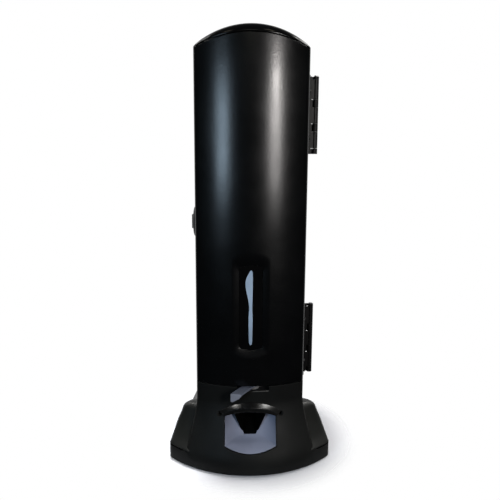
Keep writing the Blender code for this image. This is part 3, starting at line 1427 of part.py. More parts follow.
def make_latch():
    place = along("-X", *LATCH_AXIS)
    bore = SPINDLE_RADIUS + SPINDLE_CLEARANCE
    top = SEAT + ROSETTE_THICKNESS
    rosette = [
        (bore, SEAT),
        (ROSETTE_RADIUS, SEAT),
        (ROSETTE_RADIUS, SEAT + ROSETTE_THICKNESS * ROSETTE_EDGE_SHARE),
        (ROSETTE_RADIUS - ROSETTE_SHOULDER / 2, SEAT + ROSETTE_THICKNESS * ROSETTE_CROWN_SHARE),
        (ROSETTE_RADIUS - ROSETTE_SHOULDER, top),
        (bore, top),
    ]
    dress(turned("latch_rosette", rosette, 2 * ROUND_STEPS, place, LATCH_AXIS), BLACK_SATIN, SMOOTH)

    foot = top + SEAT
    head = foot + KNOB_THICKNESS
    shoulder = -WALL - SEAT * 2
    knob_profile = [
        (0, head),
        (KNOB_RADIUS - KNOB_THICKNESS / 2, head),
        (KNOB_RADIUS, head - KNOB_THICKNESS / 2),
        (KNOB_RADIUS, foot),
        (SPINDLE_RADIUS, foot),
        (SPINDLE_RADIUS, shoulder),
        (SPINDLE_TAIL_RADIUS, shoulder),
        (SPINDLE_TAIL_RADIUS, shoulder - SPINDLE_TAIL),
        (0, shoulder - SPINDLE_TAIL),
    ]
    knob = dress(turned("latch_knob", knob_profile, ROUND_STEPS, place, LATCH_AXIS), BLACK_SATIN, SMOOTH)
    half, reach = KNOB_BAR_WIDTH / 2, KNOB_RADIUS - KNOB_THICKNESS
    outer_x = LATCH_AXIS.x - head
    low = (outer_x - KNOB_BAR_HEIGHT, LATCH_AXIS.y - half, LATCH_AXIS.z - reach)
    high = (outer_x + KNOB_THICKNESS / 2, LATCH_AXIS.y + half, LATCH_AXIS.z + reach)
    bar = block("knob_bar", low, high)
    join(knob, bar)

    hook_left = LATCH_AXIS.x - shoulder + SEAT
    hook_right = hook_left + HOOK_THICKNESS
    half = HOOK_WIDTH / 2
    root = math.sqrt(HOOK_HUB_RADIUS**2 - half**2)
    meet = math.atan2(root, half)
    outline = [(half, HOOK_REACH), (-half, HOOK_REACH)]
    for angle in spread(math.pi - meet, 2 * math.pi + meet, ROUND_STEPS):
        outline.append((HOOK_HUB_RADIUS * math.cos(angle), HOOK_HUB_RADIUS * math.sin(angle)))
    outline = [(LATCH_AXIS.y + y, LATCH_AXIS.z + z) for y, z in outline]
    hook = dress(prism("latch_hook", outline, hook_left, hook_right, "YZ", LATCH_AXIS), STEEL)
    low = (hook_right - EMBED, LATCH_AXIS.y - half, LATCH_AXIS.z + HOOK_REACH - HOOK_LUG)
    high = (hook_right + HOOK_LUG_LENGTH, LATCH_AXIS.y + half, LATCH_AXIS.z + HOOK_REACH)
    join(hook, block("hook_lug", low, high))
    inside = along("X", *LATCH_AXIS)
    reach = -shoulder + SEAT
    bore = SPINDLE_TAIL_RADIUS + SEAT
    cut(hook, cylinder("cutter_hook_bore", bore, reach - EMBED, reach + OVERRUN, inside))
    low = reach + HOOK_THICKNESS + SEAT
    dress(nut("latch_nut", SPINDLE_TAIL_RADIUS, low, low + NUT_THICKNESS, inside), STEEL)


def make_keeper():
    """A bent strap on the door's left return, whose open side faces the hook."""
    wall = -TOWER_HALF + WALL + SEAT
    front, back = CORNER_Y + KEEPER_FRONT_DEPTH, CORNER_Y + KEEPER_BACK_DEPTH
    thick = KEEPER_WALL
    outline = [
        (wall, front - KEEPER_FOOT),
        (wall + thick, front - KEEPER_FOOT),
        (wall + thick, front),
        (wall + KEEPER_ARM, front),
        (wall + KEEPER_ARM, back),
        (wall + KEEPER_MOUTH, back),
        (wall + KEEPER_MOUTH, back - thick),
        (wall + KEEPER_ARM - thick, back - thick),
        (wall + KEEPER_ARM - thick, front + thick),
        (wall, front + thick),
    ]
    half = KEEPER_HEIGHT / 2
    dress(prism("latch_keeper", outline, LATCH_HEIGHT - half, LATCH_HEIGHT + half), STEEL)


def main():
    for obj in list(bpy.data.objects):
        bpy.data.objects.remove(obj, do_unlink=True)
    make_feet()
    make_base_plate()
    make_skirt()
    make_housing()
    make_chute()
    make_ramp()
    make_deck()
    make_deck_screws()
    make_tower_floor()
    make_shuttle()
    make_spring()
    make_sector_gear()
    make_lever()
    make_pivot()
    make_magazine()
    make_follower()
    shells = {"case": make_rear_shell(), "door": make_door()}
    make_hinge("upper", HINGE_UPPER_FOOT, shells)
    make_hinge("lower", HINGE_LOWER_FOOT, shells)
    make_panel()
    make_sign()
    make_cap()
    make_latch()
    make_keeper()


main()
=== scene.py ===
"""Looks of the countertop cutlery dispenser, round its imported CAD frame. Metres, +Z up, front to -Y."""

import json
import math
from itertools import accumulate

import bmesh
import bpy
from mathutils import Matrix, Vector


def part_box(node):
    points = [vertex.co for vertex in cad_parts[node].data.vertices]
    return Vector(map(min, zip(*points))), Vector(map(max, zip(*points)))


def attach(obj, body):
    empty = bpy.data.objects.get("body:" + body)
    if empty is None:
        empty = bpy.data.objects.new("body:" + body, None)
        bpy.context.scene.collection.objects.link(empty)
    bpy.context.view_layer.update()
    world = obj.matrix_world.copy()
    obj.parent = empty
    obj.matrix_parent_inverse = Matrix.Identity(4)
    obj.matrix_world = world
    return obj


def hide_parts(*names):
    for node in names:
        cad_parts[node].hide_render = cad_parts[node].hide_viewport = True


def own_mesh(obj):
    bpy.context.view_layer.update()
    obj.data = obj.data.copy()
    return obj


MM = 0.001

# Camera, found from the photograph's perspective: metres, radians, and focal length in pixels
CAMERA_PLACE = (-21.63 * MM, -797.6 * MM, 434.3 * MM)
CAMERA_PITCH = 0.1642
CAMERA_ROLL = -0.0059
CAMERA_YAW = -0.0283
FOCAL_PIXELS = 519.9
IMAGE_PIXELS = 500
SENSOR = 36.0
CLIP_START = 0.01

# Studio: radiances, with 1 as white. SIDE_ANGLES is where the surroundings turn dark towards the front.
# Reflections of what is straight behind, between the two levels of BACKDROP_RANGE, see the white.
BACKGROUND = 1.0
SURROUND = 0.62
DARK_SIDE = 0.008
SIDE_ANGLES = (math.radians(125), math.radians(92))
BACKDROP_RANGE = (-0.94, -0.99)
# The floor is a small bluish-grey disc that fades into the white background from the fade start to its
# edge: its grey round the base is painted contact shadow, on top of the shadow the lamps cast.
FLOOR_RADIUS = 0.185
FLOOR_FADE_START = 0.125
FLOOR_COLOUR = (0.78, 0.79, 0.84)
FLOOR_ROUGHNESS = 0.9
FLOOR_SIDES = 96

# Softboxes: azimuth and elevation of the centre in degrees, width, height, distance, power in watts,
# colour, seen in reflections. overhead_right and overhead_left stand high at the sides, where the
# hood's crest reflects them.
SOFTBOXES = {
    "softbox_right": (26, 10.6, 0.28, 0.44, 1.5, 6.2, (1.0, 0.97, 0.95), True),
    "softbox_right_core": (26, 16.8, 0.10, 0.13, 1.48, 3.2, (1.0, 0.96, 0.93), True),
    "softbox_left": (-29, 9.4, 0.30, 0.40, 1.5, 4.7, (0.62, 0.82, 1.0), True),
    "upper_right": (24, 44, 0.20, 0.12, 1.5, 0.30, (1.0, 0.90, 0.70), True),
    "upper_left": (-30, 44, 0.20, 0.12, 1.5, 0.20, (1.0, 0.90, 0.70), True),
    "overhead_right": (88, 50, 0.20, 0.34, 1.5, 4.6, (1.0, 0.99, 0.96), True),
    "overhead_left": (-86, 54, 0.12, 0.22, 1.5, 2.0, (1.0, 0.99, 0.96), True),
    "side_right": (116, 45, 0.50, 0.40, 1.5, 6.0, (1.0, 0.99, 0.95), True),
    "side_left": (-116, 45, 0.50, 0.40, 1.5, 6.0, (1.0, 0.99, 0.95), True),
    "upper_middle": (0, 31.5, 0.34, 0.07, 1.5, 0.45, (1.0, 0.99, 0.84), True),
    "overhead_back": (215, 82, 0.25, 0.25, 1.6, 36.0, (1.0, 1.0, 1.0), False),
}
AIM = (0.0, 0.0, 0.30)

# Finishes: colour, roughness, specular level, grain depth in metres, grain scale, rounding in metres
FINISHES = {
    "satin_tower": ((0.0020, 0.0022, 0.0025), 0.23, 0.40, 0.00012, 330, 0.0004),
    "satin_base": ((0.0082, 0.0086, 0.0083), 0.48, 0.10, 0.00003, 900, 0.0014),
    "satin_wing": ((0.0080, 0.0086, 0.0078), 0.38, 0.45, 0.00003, 900, 0.0004),
    "satin_hood": ((0.0060, 0.0062, 0.0062), 0.24, 0.80, 0.00006, 900, 0.0003),
    # A grey far paler than the skirt: painted highlight along the sill of the lever's slot.
    "slot_edge_highlight": ((0.0600, 0.0600, 0.0580), 0.35, 0.50, 0.00002, 900, 0.0003),
    "gloss_cap": ((0.0035, 0.0035, 0.0037), 0.13, 0.22, 0.000003, 300, 0.0003),
    "black_satin": ((0.0075, 0.0078, 0.0078), 0.36, 0.40, 0.00003, 900, 0.0004),
    "black_gloss": ((0.0030, 0.0030, 0.0032), 0.10, 0.45, 0.000003, 300, 0.0004),
    "black_matt": ((0.0120, 0.0120, 0.0125), 0.60, 0.25, 0.00003, 700, 0.0003),
    "black_metal": ((0.0060, 0.0060, 0.0064), 0.38, 0.25, 0.00002, 800, 0.0003),
    "grey_blue": ((0.260, 0.285, 0.380), 0.14, 0.50, 0.000005, 400, 0.0004),
    "grey_lever": ((0.230, 0.240, 0.290), 0.50, 0.35, 0.00003, 600, 0.0004),
    "grey_lever_top": ((0.100, 0.112, 0.150), 0.42, 0.50, 0.00020, 420, 0.0006),
    "sign_blue": ((0.385, 0.500, 0.650), 0.45, 0.30, 0.00001, 900, 0.0001),
    "grey_plastic": ((0.170, 0.170, 0.175), 0.42, 0.40, 0.00002, 700, 0.0003),
    # Near-black with little gloss: painted shade inside the seam under the wings, and also the drop
    # ramp's finish inside the base.
    "inner_and_shade_black": ((0.0020, 0.0020, 0.0020), 0.70, 0.05, 0.00003, 700, 0.0003),
    "rubber": ((0.014, 0.014, 0.014), 0.80, 0.30, 0.00005, 500, 0.0003),
    "steel": ((0.560, 0.560, 0.570), 0.28, 0.50, 0.00001, 1500, 0.0002),
    "dark_steel": ((0.050, 0.050, 0.052), 0.40, 0.50, 0.00001, 1500, 0.0002),
}
# CAD nodes, by how their names start, with another finish than their slot's
OWN_FINISHES = {
    "rear_shell": "satin_tower",
    "drop_ramp": "inner_and_shade_black",
    "hinge_screw": "dark_steel",
    "lever_pivot": "dark_steel",
}
# What the finishes share: shifts of tone, smudges, and paler edges, partly rubbed wear and partly a
# painted highlight along the rounded edges. A band is the range of a noise that turns into the shares. An
# edge shows where the true normal and the rounded one part, from the first value of the edge facing pair
# to the second.
TONE_SCALE = 14
TONE_BAND = (0.3, 0.7)
TONE_SHARES = (0.82, 1.18)
SMUDGE_SCALE = 22
SMUDGE_BAND = (0.3, 0.75)
SMUDGE_SHARES = (0.92, 1.12)
WEAR_SHEEN_SCALE = 60
WEAR_SHEEN_BAND = (0.35, 0.70)
WEAR_SHEEN_SHARES = (0.15, 0.6)
WEAR_SHEEN_FACING = (0.995, 0.90)
WEAR_ROUGHNESS = 0.12
WORN_SHEEN_GAIN = 1.6
WORN_SHEEN_LIFT = 0.030
GRAIN_STRENGTH = 0.5
EDGE_SAMPLES = 4

# Tower: outline in plan, arched top and lid. PLAN_MIDDLE is half the width of the evenly divided
# middle of the lid's plan and the envelope's.
TOWER_BULGE = 0.020
TOWER_CORNER = 0.007
TOWER_REAR_CORNER = 0.014
TOWER_REAR_CHAMFER = 0.004
LEAST_CORNER = 0.001
WALL = 0.0025
EAVES_APEX = 0.6020
EAVES_RADIUS = 0.195
ROOF_RADIUS = 0.138
ROOF_EDGE = 0.008
CAP_UNDERLAP = 0.004
CAP_SEAM_INSET = 0.0004
CAP_SINK_SHARE = -0.02
DOOR_HEAD_GAP = 0.0009
PLAN_MIDDLE = 0.03

# Window in the door: the recess's outline on the surface and at the panel. The panel's face is
# PANEL_AHEAD in front of the tower's corners.
WINDOW_WIDTH = 0.0486
WINDOW_TOP = 0.3072
WINDOW_BOTTOM = 0.1648
WINDOW_ARCH = 0.0078
PANEL_WIDTH = 0.0322
PANEL_TOP = 0.2958
PANEL_BOTTOM = 0.1742
PANEL_ARCH = 0.0034
PANEL_AHEAD = 0.0155
PANEL_LAND = 0.002
BOSS_MARGIN = 0.0025

# Knife sign on the panel: height, left edge and right edge as shares
SIGN_TOP = 0.289
SIGN_BOTTOM = 0.1812
SIGN_WIDTH = 0.0102
SIGN_OFFSET = -0.0026
SIGN_THICKNESS = 0.0004
SIGN_OUTLINE_SHARES = (
    (1.000, 0.74, 0.78),
    (0.985, 0.60, 0.93),
    (0.955, 0.42, 0.98),
    (0.915, 0.20, 1.00),
    (0.870, 0.05, 1.00),
    (0.820, 0.00, 1.00),
    (0.760, 0.05, 1.00),
    (0.690, 0.20, 0.99),
    (0.600, 0.40, 0.97),
    (0.520, 0.51, 0.95),
    (0.470, 0.51, 0.95),
    (0.400, 0.46, 0.99),
    (0.300, 0.45, 1.00),
    (0.200, 0.47, 0.99),
    (0.060, 0.50, 0.96),
    (0.015, 0.56, 0.90),
    (0.000, 0.66, 0.80),
)

# Base: bowed outline, rim and flared skirt. Beside the skirt's foot the rim's points go from
# RIM_REACH outside the foot's half width to RIM_OVERLAP inside it. The shoulder eases the rim's edge
# over SHOULDER_REACH each way, and fades to SHOULDER_LEAST between the two places x of SHOULDER_FADE.
BASE_BULGE = 0.052
BASE_CORNER = 0.012
BASE_WAIST_HALF = 0.112
BASE_WAIST_DEPTH = 0.033
BASE_REAR_HALF = 0.090
BASE_REAR_CORNER = 0.018
RIM_TOP = 0.022
RIM_OVERLAP = 0.0033
RIM_REACH = 0.010
SHELL_FOOT = 0.0022
NECK_TOP = 0.1198
FLARE_TOP = 0.095
FLARE_SPREAD = 0.015
FLARE_POWER = 1.4
FLARE_CORNER_LOSS = 0.003
SHOULDER_REACH = 0.011
SHOULDER_LEAST = 0.0005
SHOULDER_FADE = (0.085, 0.0905)
SLOPE_STEP = 0.0001

# Wings: how far their top has gone in from the rim, and the profile as shares of the height, the
# sides' inset, the front's setback and the rear's inset
WING_TOP = 0.0803
WING_INSET = 0.0432
WING_WAIST_INSET = 0.0395
WING_REAR_INSET = 0.014
WING_SETBACK = 0.051
WING_BACK_INSET = 0.008
WING_CORNER = 0.008
WING_CLEARANCE = 0.0004
WING_GAP = 0.0020
WING_FRONT_SHARE = 0.55
WING_SHARP = math.radians(35)
WING_PROFILE_SHARES = (
    (0.000, 0.000, 0.010, 0.000),
    (0.022, 0.014, 0.012, 0.010),
    (0.210, 0.111, 0.259, 0.330),
    (0.480, 0.236, 0.510, 0.600),
    (0.720, 0.375, 0.676, 0.740),
    (0.852, 0.444, 0.755, 0.800),
    (0.914, 0.537, 0.814, 0.850),
    (0.967, 0.700, 0.892, 0.910),
    (1.000, 1.000, 1.000, 1.000),
)

# The envelope that cuts the wings, pushed forward in front of the skirt, and the seam's painted shade:
# level faces about the rim's top, further out than SEAM_HALF or further back than SEAM_FRONT, painted
# near-black.
ENVELOPE_PUSH = 0.006
ENVELOPE_FOOT = 0.004
ENVELOPE_FOOT_PUSH = 0.005
SEAM_BELOW = 0.002
SEAM_ABOVE = 0.0001
SEAM_LEVEL = 0.9
SEAM_HALF = 0.089
SEAM_FRONT = -0.090

# Outlet in the skirt, its hood and dimples, and the lever's slot. The hood's section gives shares of
# the way down from its crest to its lip, and of its reach.
OUTLET_WIDTH = 0.0744
OUTLET_CORNER_HEIGHT = 0.0383
OUTLET_SAG = 0.0078
HOOD_APEX = 0.097
HOOD_HALF_SPAN = 0.044
HOOD_DROP = 0.0148
HOOD_DEPTH = 0.0117
HOOD_LIP_RADIUS = 0.082
HOOD_CHEEK = 0.001
HOOD_REACH = 0.0075
HOOD_END_SHARE = 0.35
HOOD_ROOT = 0.0012
HOOD_SECTION_SHARES = (
    (0.000, 0.00),
    (0.020, 0.09),
    (0.050, 0.18),
    (0.150, 0.41),
    (0.250, 0.63),
    (0.350, 0.84),
    (0.400, 0.94),
    (0.430, 0.99),
    (0.450, 1.00),
    (0.470, 0.97),
    (0.500, 0.88),
    (0.950, 0.76),
    (1.000, 0.70),
)
DIMPLE_RADIUS = 0.0040
DIMPLE_DEPTH = 0.0026
DIMPLE_SPREAD = 0.0005
DIMPLE_FALL = 0.003
SLOT_LEFT = -0.019
SLOT_RIGHT = 0.027
SLOT_SILL = 0.1135
LIP_LEFT = 0.003
LIP_RIGHT = 0.0265
LIP_SECTION = (
    (-0.0003, -0.0008), (-0.0006, -0.0004), (-0.0003, 0.0001), (0.0010, 0.0003), (0.0010, -0.0008),
)

# Chute: a scooped funnel from the outlet to a V-shaped mouth. Its back is a little larger round the
# mouth, grown about MOUTH_MIDDLE, and swells behind the walls.
CHUTE_CLEARANCE = 0.0009
CHUTE_RECESS = 0.0014
CHUTE_WALL = 0.0014
CHUTE_SWELL = 0.001
CHUTE_SHARP = math.radians(30)
MOUTH_DEPTH = -0.014
MOUTH_TOP_DEPTH = 0.004
MOUTH_TOP = 0.0760
MOUTH_MIDDLE = 0.062
MOUTH_BOTTOM = 0.0448
MOUTH_TOP_WIDTH = 0.0500
MOUTH_BOTTOM_WIDTH = 0.017
MOUTH_GROWTH = 0.04
SCOOP_SHARE = 0.20
SCOOP_LIMIT = 1.02
SCOOP_RING_SHARES = (0.0, 0.02, 0.10, 0.20, 0.32, 0.45, 0.58, 0.70, 0.80, 0.88, 0.94, 0.98, 1.0)
BACK_RING_STRIDE = 3

# Push lever: pivot, arm and the paddle's outline as shares of its width and height
PIVOT_X = 0.004
PIVOT_AHEAD = 0.003
LEVER_HEADROOM = 0.0003
LEVER_THICKNESS = 0.0026
LEVER_WIDTH = 0.0144
LEVER_HUB_RADIUS = 0.0083
LEVER_LONG_SIDE = 0.0488
LEVER_SHORT_SIDE = 0.0433
LEVER_LEAN = math.radians(32.5)
LEVER_BORE = 0.0033
PADDLE_THICKNESS = 0.003
PADDLE_OVERHANG = 0.0003
PADDLE_HEIGHT = 0.0126
PADDLE_SINK = 0.0004
PADDLE_OUTLINE_SHARES = (
    (0.00, 1.00),
    (0.00, 0.10),
    (0.05, 0.02),
    (0.17, 0.00),
    (0.62, 0.36),
    (0.80, 0.46),
    (0.84, 0.62),
    (0.93, 0.70),
    (1.00, 0.80),
    (1.00, 1.00),
)

# Return spring, which the shuttle presses together. Its slope is taken over TURN_STEP each way.
SPRING_WIRE = 0.00025
SPRING_TURNS = 10
SPRING_END_PITCH = 0.0013
TURN_STEP = 0.01

# Rounded edges: width in metres, and the angle in degrees from which an edge is sharp
EDGE_ROUNDING = {
    "door_front": (0.0005, 32),
    "base_front": (0.0005, 40),
    "outlet_hood": (0.0003, 32),
    "slot_lip": (0.0002, 32),
    "outlet_scoop": (0.00035, 22),
    "knife_inlay": (0.00012, 32),
    "lever_arm": (0.0006, 32),
    "lever_paddle": (0.0005, 32),
}

# Mesh fineness: steps along arcs and sides, and in the bands between a piece's limits
MERGE_DISTANCE = 0.000001
EDGE_SEGMENTS = 3
CORNER_STEPS = 8
SIDE_STEPS = 4
OUTER_STEPS = 16
SIDE_POINTS = CORNER_STEPS + SIDE_STEPS + 1
FIRST_FIXED = SIDE_POINTS + OUTER_STEPS - 1
SAMPLES_PER_SPAN = 4
WINDOW_COLUMNS = 16
DOOR_ROWS = (10, 16, 34)
CAP_COLUMNS = 12
CAP_STEPS = 12
BASE_COLUMNS = (8, 18, 5)
BASE_ROWS = (4, 10, 6, 18, 10, 3)
RIM_STEPS = 6
WING_STEPS = 10
ENVELOPE_COLUMNS = 6
ENVELOPE_STEPS = 24
DIMPLE_RINGS = 12
DIMPLE_SIDES = 24
HOOD_STEPS = 56
LIP_STEPS = 16
CHUTE_COLUMNS = 28
CHUTE_SIDE_STEPS = 12
LEVER_STEPS = 40
SPRING_STEPS = 16
WIRE_SIDES = 8


def spread(start, end, steps):
    """steps + 1 values from start to end."""
    return [start + (end - start) * i / steps for i in range(steps + 1)]


def bands(limits, steps):
    """Values through the limits, with this many steps in each band."""
    values = [limits[0]]
    for low, high, count in zip(limits, limits[1:], steps):
        values += spread(low, high, count)[1:]
    return values


def mix(start, end, share):
    return start + (end - start) * share


def smooth_step(value, low, high):
    share = min(max((value - low) / (high - low), 0), 1)
    return share * share * (3 - 2 * share)


def smooth_path(points, first=0):
    """An open path through the points from the first one on, as a Catmull-Rom curve."""
    path = []
    for i in range(first, len(points) - 1):
        before, start, end = points[max(i - 1, 0)], points[i], points[i + 1]
        after = points[min(i + 2, len(points) - 1)]
        for t in spread(0, 1, SAMPLES_PER_SPAN)[:-1]:
            path.append(tuple(
                0.5 * (2 * b + (c - a) * t + (2 * a - 5 * b + 4 * c - d) * t**2
                       + (3 * b - a - 3 * c + d) * t**3)
                for a, b, c, d in zip(before, start, end, after)
            ))
    return path + [points[-1]]


def arch(x, radius):
    """How far an arc of this radius has dropped from its apex, x to the side."""
    return radius - math.sqrt(radius**2 - x**2)


def arc_radius(half_chord, bulge):
    """Radius of the arc through the ends of a chord that stands bulge above its middle."""
    return (half_chord**2 + bulge**2) / (2 * bulge)


def arc_points(centre, radius, start, end, steps=CORNER_STEPS):
    """Points of an arc from one angle to another."""
    x, y = centre
    return [(x + radius * math.cos(a), y + radius * math.sin(a)) for a in spread(start, end, steps)]


def circle_points(centre, radius, sides):
    return arc_points(centre, radius, 0, 2 * math.pi, sides)[:-1]


def mirrored(points):
    """The points of the right side on the left, in the order that goes on round a plan."""
    return [(-x, y) for x, y in reversed(points)]


def add_object(name, data):
    item = bpy.data.objects.new(name, data)
    bpy.context.scene.collection.objects.link(item)
    return item


def mesh_object(name, vertices, faces):
    """A mesh with doubled points merged and all faces turned outwards."""
    mesh = bpy.data.meshes.new(name)
    mesh.from_pydata(vertices, [], faces)
    work = bmesh.new()
    work.from_mesh(mesh)
    bmesh.ops.remove_doubles(work, verts=work.verts, dist=MERGE_DISTANCE)
    bmesh.ops.recalc_face_normals(work, faces=work.faces)
    work.to_mesh(mesh)
    work.free()
    return add_object(name, mesh)


def mesh_piece(name, shape, body, slot, *nodes):
    """A smooth-shaded piece of vertices and faces that rides on a body and stands for CAD nodes."""
    piece = mesh_object(name, *shape)
    piece.data.shade_smooth()
    piece.data.materials.append(materials[slot])
    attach(piece, body)
    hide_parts(*nodes)
    return piece


def soften(piece):
    """Rounds the piece's sharp edges."""
    width, degrees = EDGE_ROUNDING[piece.name]
    bevel = piece.modifiers.new("rounded_edges", "BEVEL")
    bevel.width = width
    bevel.segments = EDGE_SEGMENTS
    bevel.limit_method = "ANGLE"
    bevel.angle_limit = math.radians(degrees)
    bevel.use_clamp_overlap = True
    bevel.harden_normals = True


def cut_by(piece, rings):
    """Cuts the piece by the solid that the rings enclose."""
    cutter = mesh_object("cutter", *capped_rings(rings))
    modifier = piece.modifiers.new("cut", "BOOLEAN")
    modifier.operation = "DIFFERENCE"
    modifier.object = cutter
    modifier.solver = "EXACT"
    evaluated = piece.evaluated_get(bpy.context.evaluated_depsgraph_get())
    result = bpy.data.meshes.new_from_object(evaluated)
    piece.modifiers.clear()
    piece.data = result
    piece.data.shade_smooth()
    bpy.data.objects.remove(cutter)


def joined(near, far):
    """Faces between two closed loops of point numbers."""
    count = len(near)
    return [(near[i], near[(i + 1) % count], far[(i + 1) % count], far[i]) for i in range(count)]


def ring_faces(rings, closed=False):
    """Vertices and side faces of rings joined in order, and the last to the first if closed."""
    count = len(rings[0])
    vertices = [point for ring in rings for point in ring]
    loops = [range(k * count, (k + 1) * count) for k in range(len(rings))]
    faces = []
    for near, far in zip(loops, loops[1:] + (loops[:1] if closed else [])):
        faces += joined(near, far)
    return vertices, faces


def capped_rings(rings):
    """Vertices and faces of rings joined in order, with the first and last filled."""
    vertices, faces = ring_faces(rings)
    count = len(rings[0])
    faces += [tuple(range(count)), tuple(range(len(vertices) - count, len(vertices)))]
    return vertices, faces


def walled_grid(outer, inner, cells):
    """Vertices and faces of a wall between two grids of points [column][row], in the given cells."""
    columns, rows = len(outer), len(outer[0])
    vertices = [point for column in outer + inner for point in column]

    def at(side, column, row):
        return side * columns * rows + column % columns * rows + row

    faces, edges = [], {}
    for column, row in cells:
        corners = [(column, row), (column + 1, row), (column + 1, row + 1), (column, row + 1)]
        faces.append(tuple(at(0, *corner) for corner in corners))
        faces.append(tuple(at(1, *corner) for corner in reversed(corners)))
        for start, end in zip(corners, corners[1:] + corners[:1]):
            key = frozenset((at(0, *start), at(0, *end)))
            edges[key] = None if key in edges else (start, end)
    for pair in edges.values():
        if pair:
            start, end = pair
            faces.append((at(0, *end), at(0, *start), at(1, *start), at(1, *end)))
    return vertices, faces


def corner_in_arc(half, radius, centre_y, corner):
    """Centre of the corner between an arc and a side at x = half, and the angle where they meet."""
    x = half - corner
    y = centre_y - math.sqrt((radius - corner) ** 2 - x**2)
    return (x, y), math.atan2(y - centre_y, x)


def tangent_angle(centre, corner, point, side):
    """Where the straight line from a point touches a corner's circle: side is 1 or -1."""
    away = Vector(point) - Vector(centre)
    return math.atan2(away.y, away.x) + side * math.acos(corner / away.length)


def front_plan(half, radius, centre_y, corner, fixed):
    """Plan of a bowed front with rounded corners, from seam to seam, through fixed places x."""
    centre, meet = corner_in_arc(half, radius, centre_y, corner)
    side = arc_points(centre, corner, meet, 0)
    side += [(half, y) for y in spread(centre[1], SEAM_Y, SIDE_STEPS)[1:]]
    outer = spread(fixed[-1], radius * math.cos(meet), OUTER_STEPS)[1:-1]
    middle = [-x for x in reversed(outer)] + fixed + outer
    front = [(x, centre_y - math.sqrt(radius**2 - x**2)) for x in middle]
    return mirrored(side) + front + side


def tower_plan(inset, fixed):
    """Plan of the tower's front, moved inwards."""
    corner = max(TOWER_CORNER - inset, LEAST_CORNER)
    return front_plan(TOWER_HALF - inset, TOWER_ARC - inset, TOWER_ARC_Y, corner, fixed)


def flare_share(z):
    """How far the skirt has flared at height z: 0 at the neck, 1 at the rim."""
    return min(max((FLARE_TOP - z) / (FLARE_TOP - RIM_TOP), 0), 1) ** FLARE_POWER


def shoulder_share(z, reach):
    """The flare with its edge at the rim eased over a height of reach each way."""
    high, low = RIM_TOP + reach, RIM_TOP - reach
    if z >= high:
        return flare_share(z)
    if z <= low:
        return 1
    end = flare_share(high)
    slope = (flare_share(high + SLOPE_STEP) - end) / SLOPE_STEP * (high - low)
    t = (z - low) / (high - low)
    return (2 * t**3 - 3 * t**2 + 1) + (3 * t**2 - 2 * t**3) * end + (t**3 - t**2) * slope


def skirt_section(share):
    """Half width, arc radius, arc centre and corner radius of the skirt at a share of its flare."""
    half = TOWER_HALF + FLARE_SPREAD * share
    rim_corner_y = BASE_ARC_Y - math.sqrt(BASE_ARC**2 - FLARE_HALF**2)
    corner_y = mix(CORNER_Y, rim_corner_y, share)
    apex_y = CORNER_Y - TOWER_BULGE - (BASE_BULGE - TOWER_BULGE) * share
    radius = arc_radius(half, corner_y - apex_y)
    return half, radius, apex_y + radius, TOWER_CORNER - FLARE_CORNER_LOSS * share


def skirt_plan(share, inset, fixed):
    """Plan of the skirt at a share of its flare, moved inwards."""
    half, radius, centre_y, corner = skirt_section(share)
    return front_plan(half - inset, radius - inset, centre_y, corner - inset, fixed)


def skirt_point(index, z, inset, fixed):
    """A point of the skirt's plan at height z. The shoulder over the rim fades out at the sides."""
    x, _ = skirt_plan(flare_share(z), inset, fixed)[index]
    fade = 1 - smooth_step(abs(x), *SHOULDER_FADE)
    reach = SHOULDER_LEAST + SHOULDER_REACH * fade
    return skirt_plan(shoulder_share(z, reach), inset, fixed)[index]


def skirt_y(x, z):
    """Where the skirt's front surface is, at x and height z."""
    _, radius, centre_y, _ = skirt_section(flare_share(z))
    return centre_y - math.sqrt(radius**2 - x**2)


def eaves(x):
    return EAVES_APEX - arch(x, EAVES_RADIUS)


def roof(x):
    return ROOF_APEX - arch(x, ROOF_RADIUS)


def opening(x, width, top, bottom, sag):
    """Lowest and highest point at x of an opening with an arched head and sill."""
    drop = arch(min(abs(x), width / 2), arc_radius(width / 2, sag))
    return bottom + drop, top - drop


def outlet_head(x):
    return HOOD_APEX - HOOD_DEPTH - arch(min(abs(x), OUTLET_WIDTH / 2), HOOD_LIP_RADIUS)


def outlet_sill(x):
    drop = arch(min(abs(x), OUTLET_WIDTH / 2), arc_radius(OUTLET_WIDTH / 2, OUTLET_SAG))
    return OUTLET_CORNER_HEIGHT - OUTLET_SAG + drop


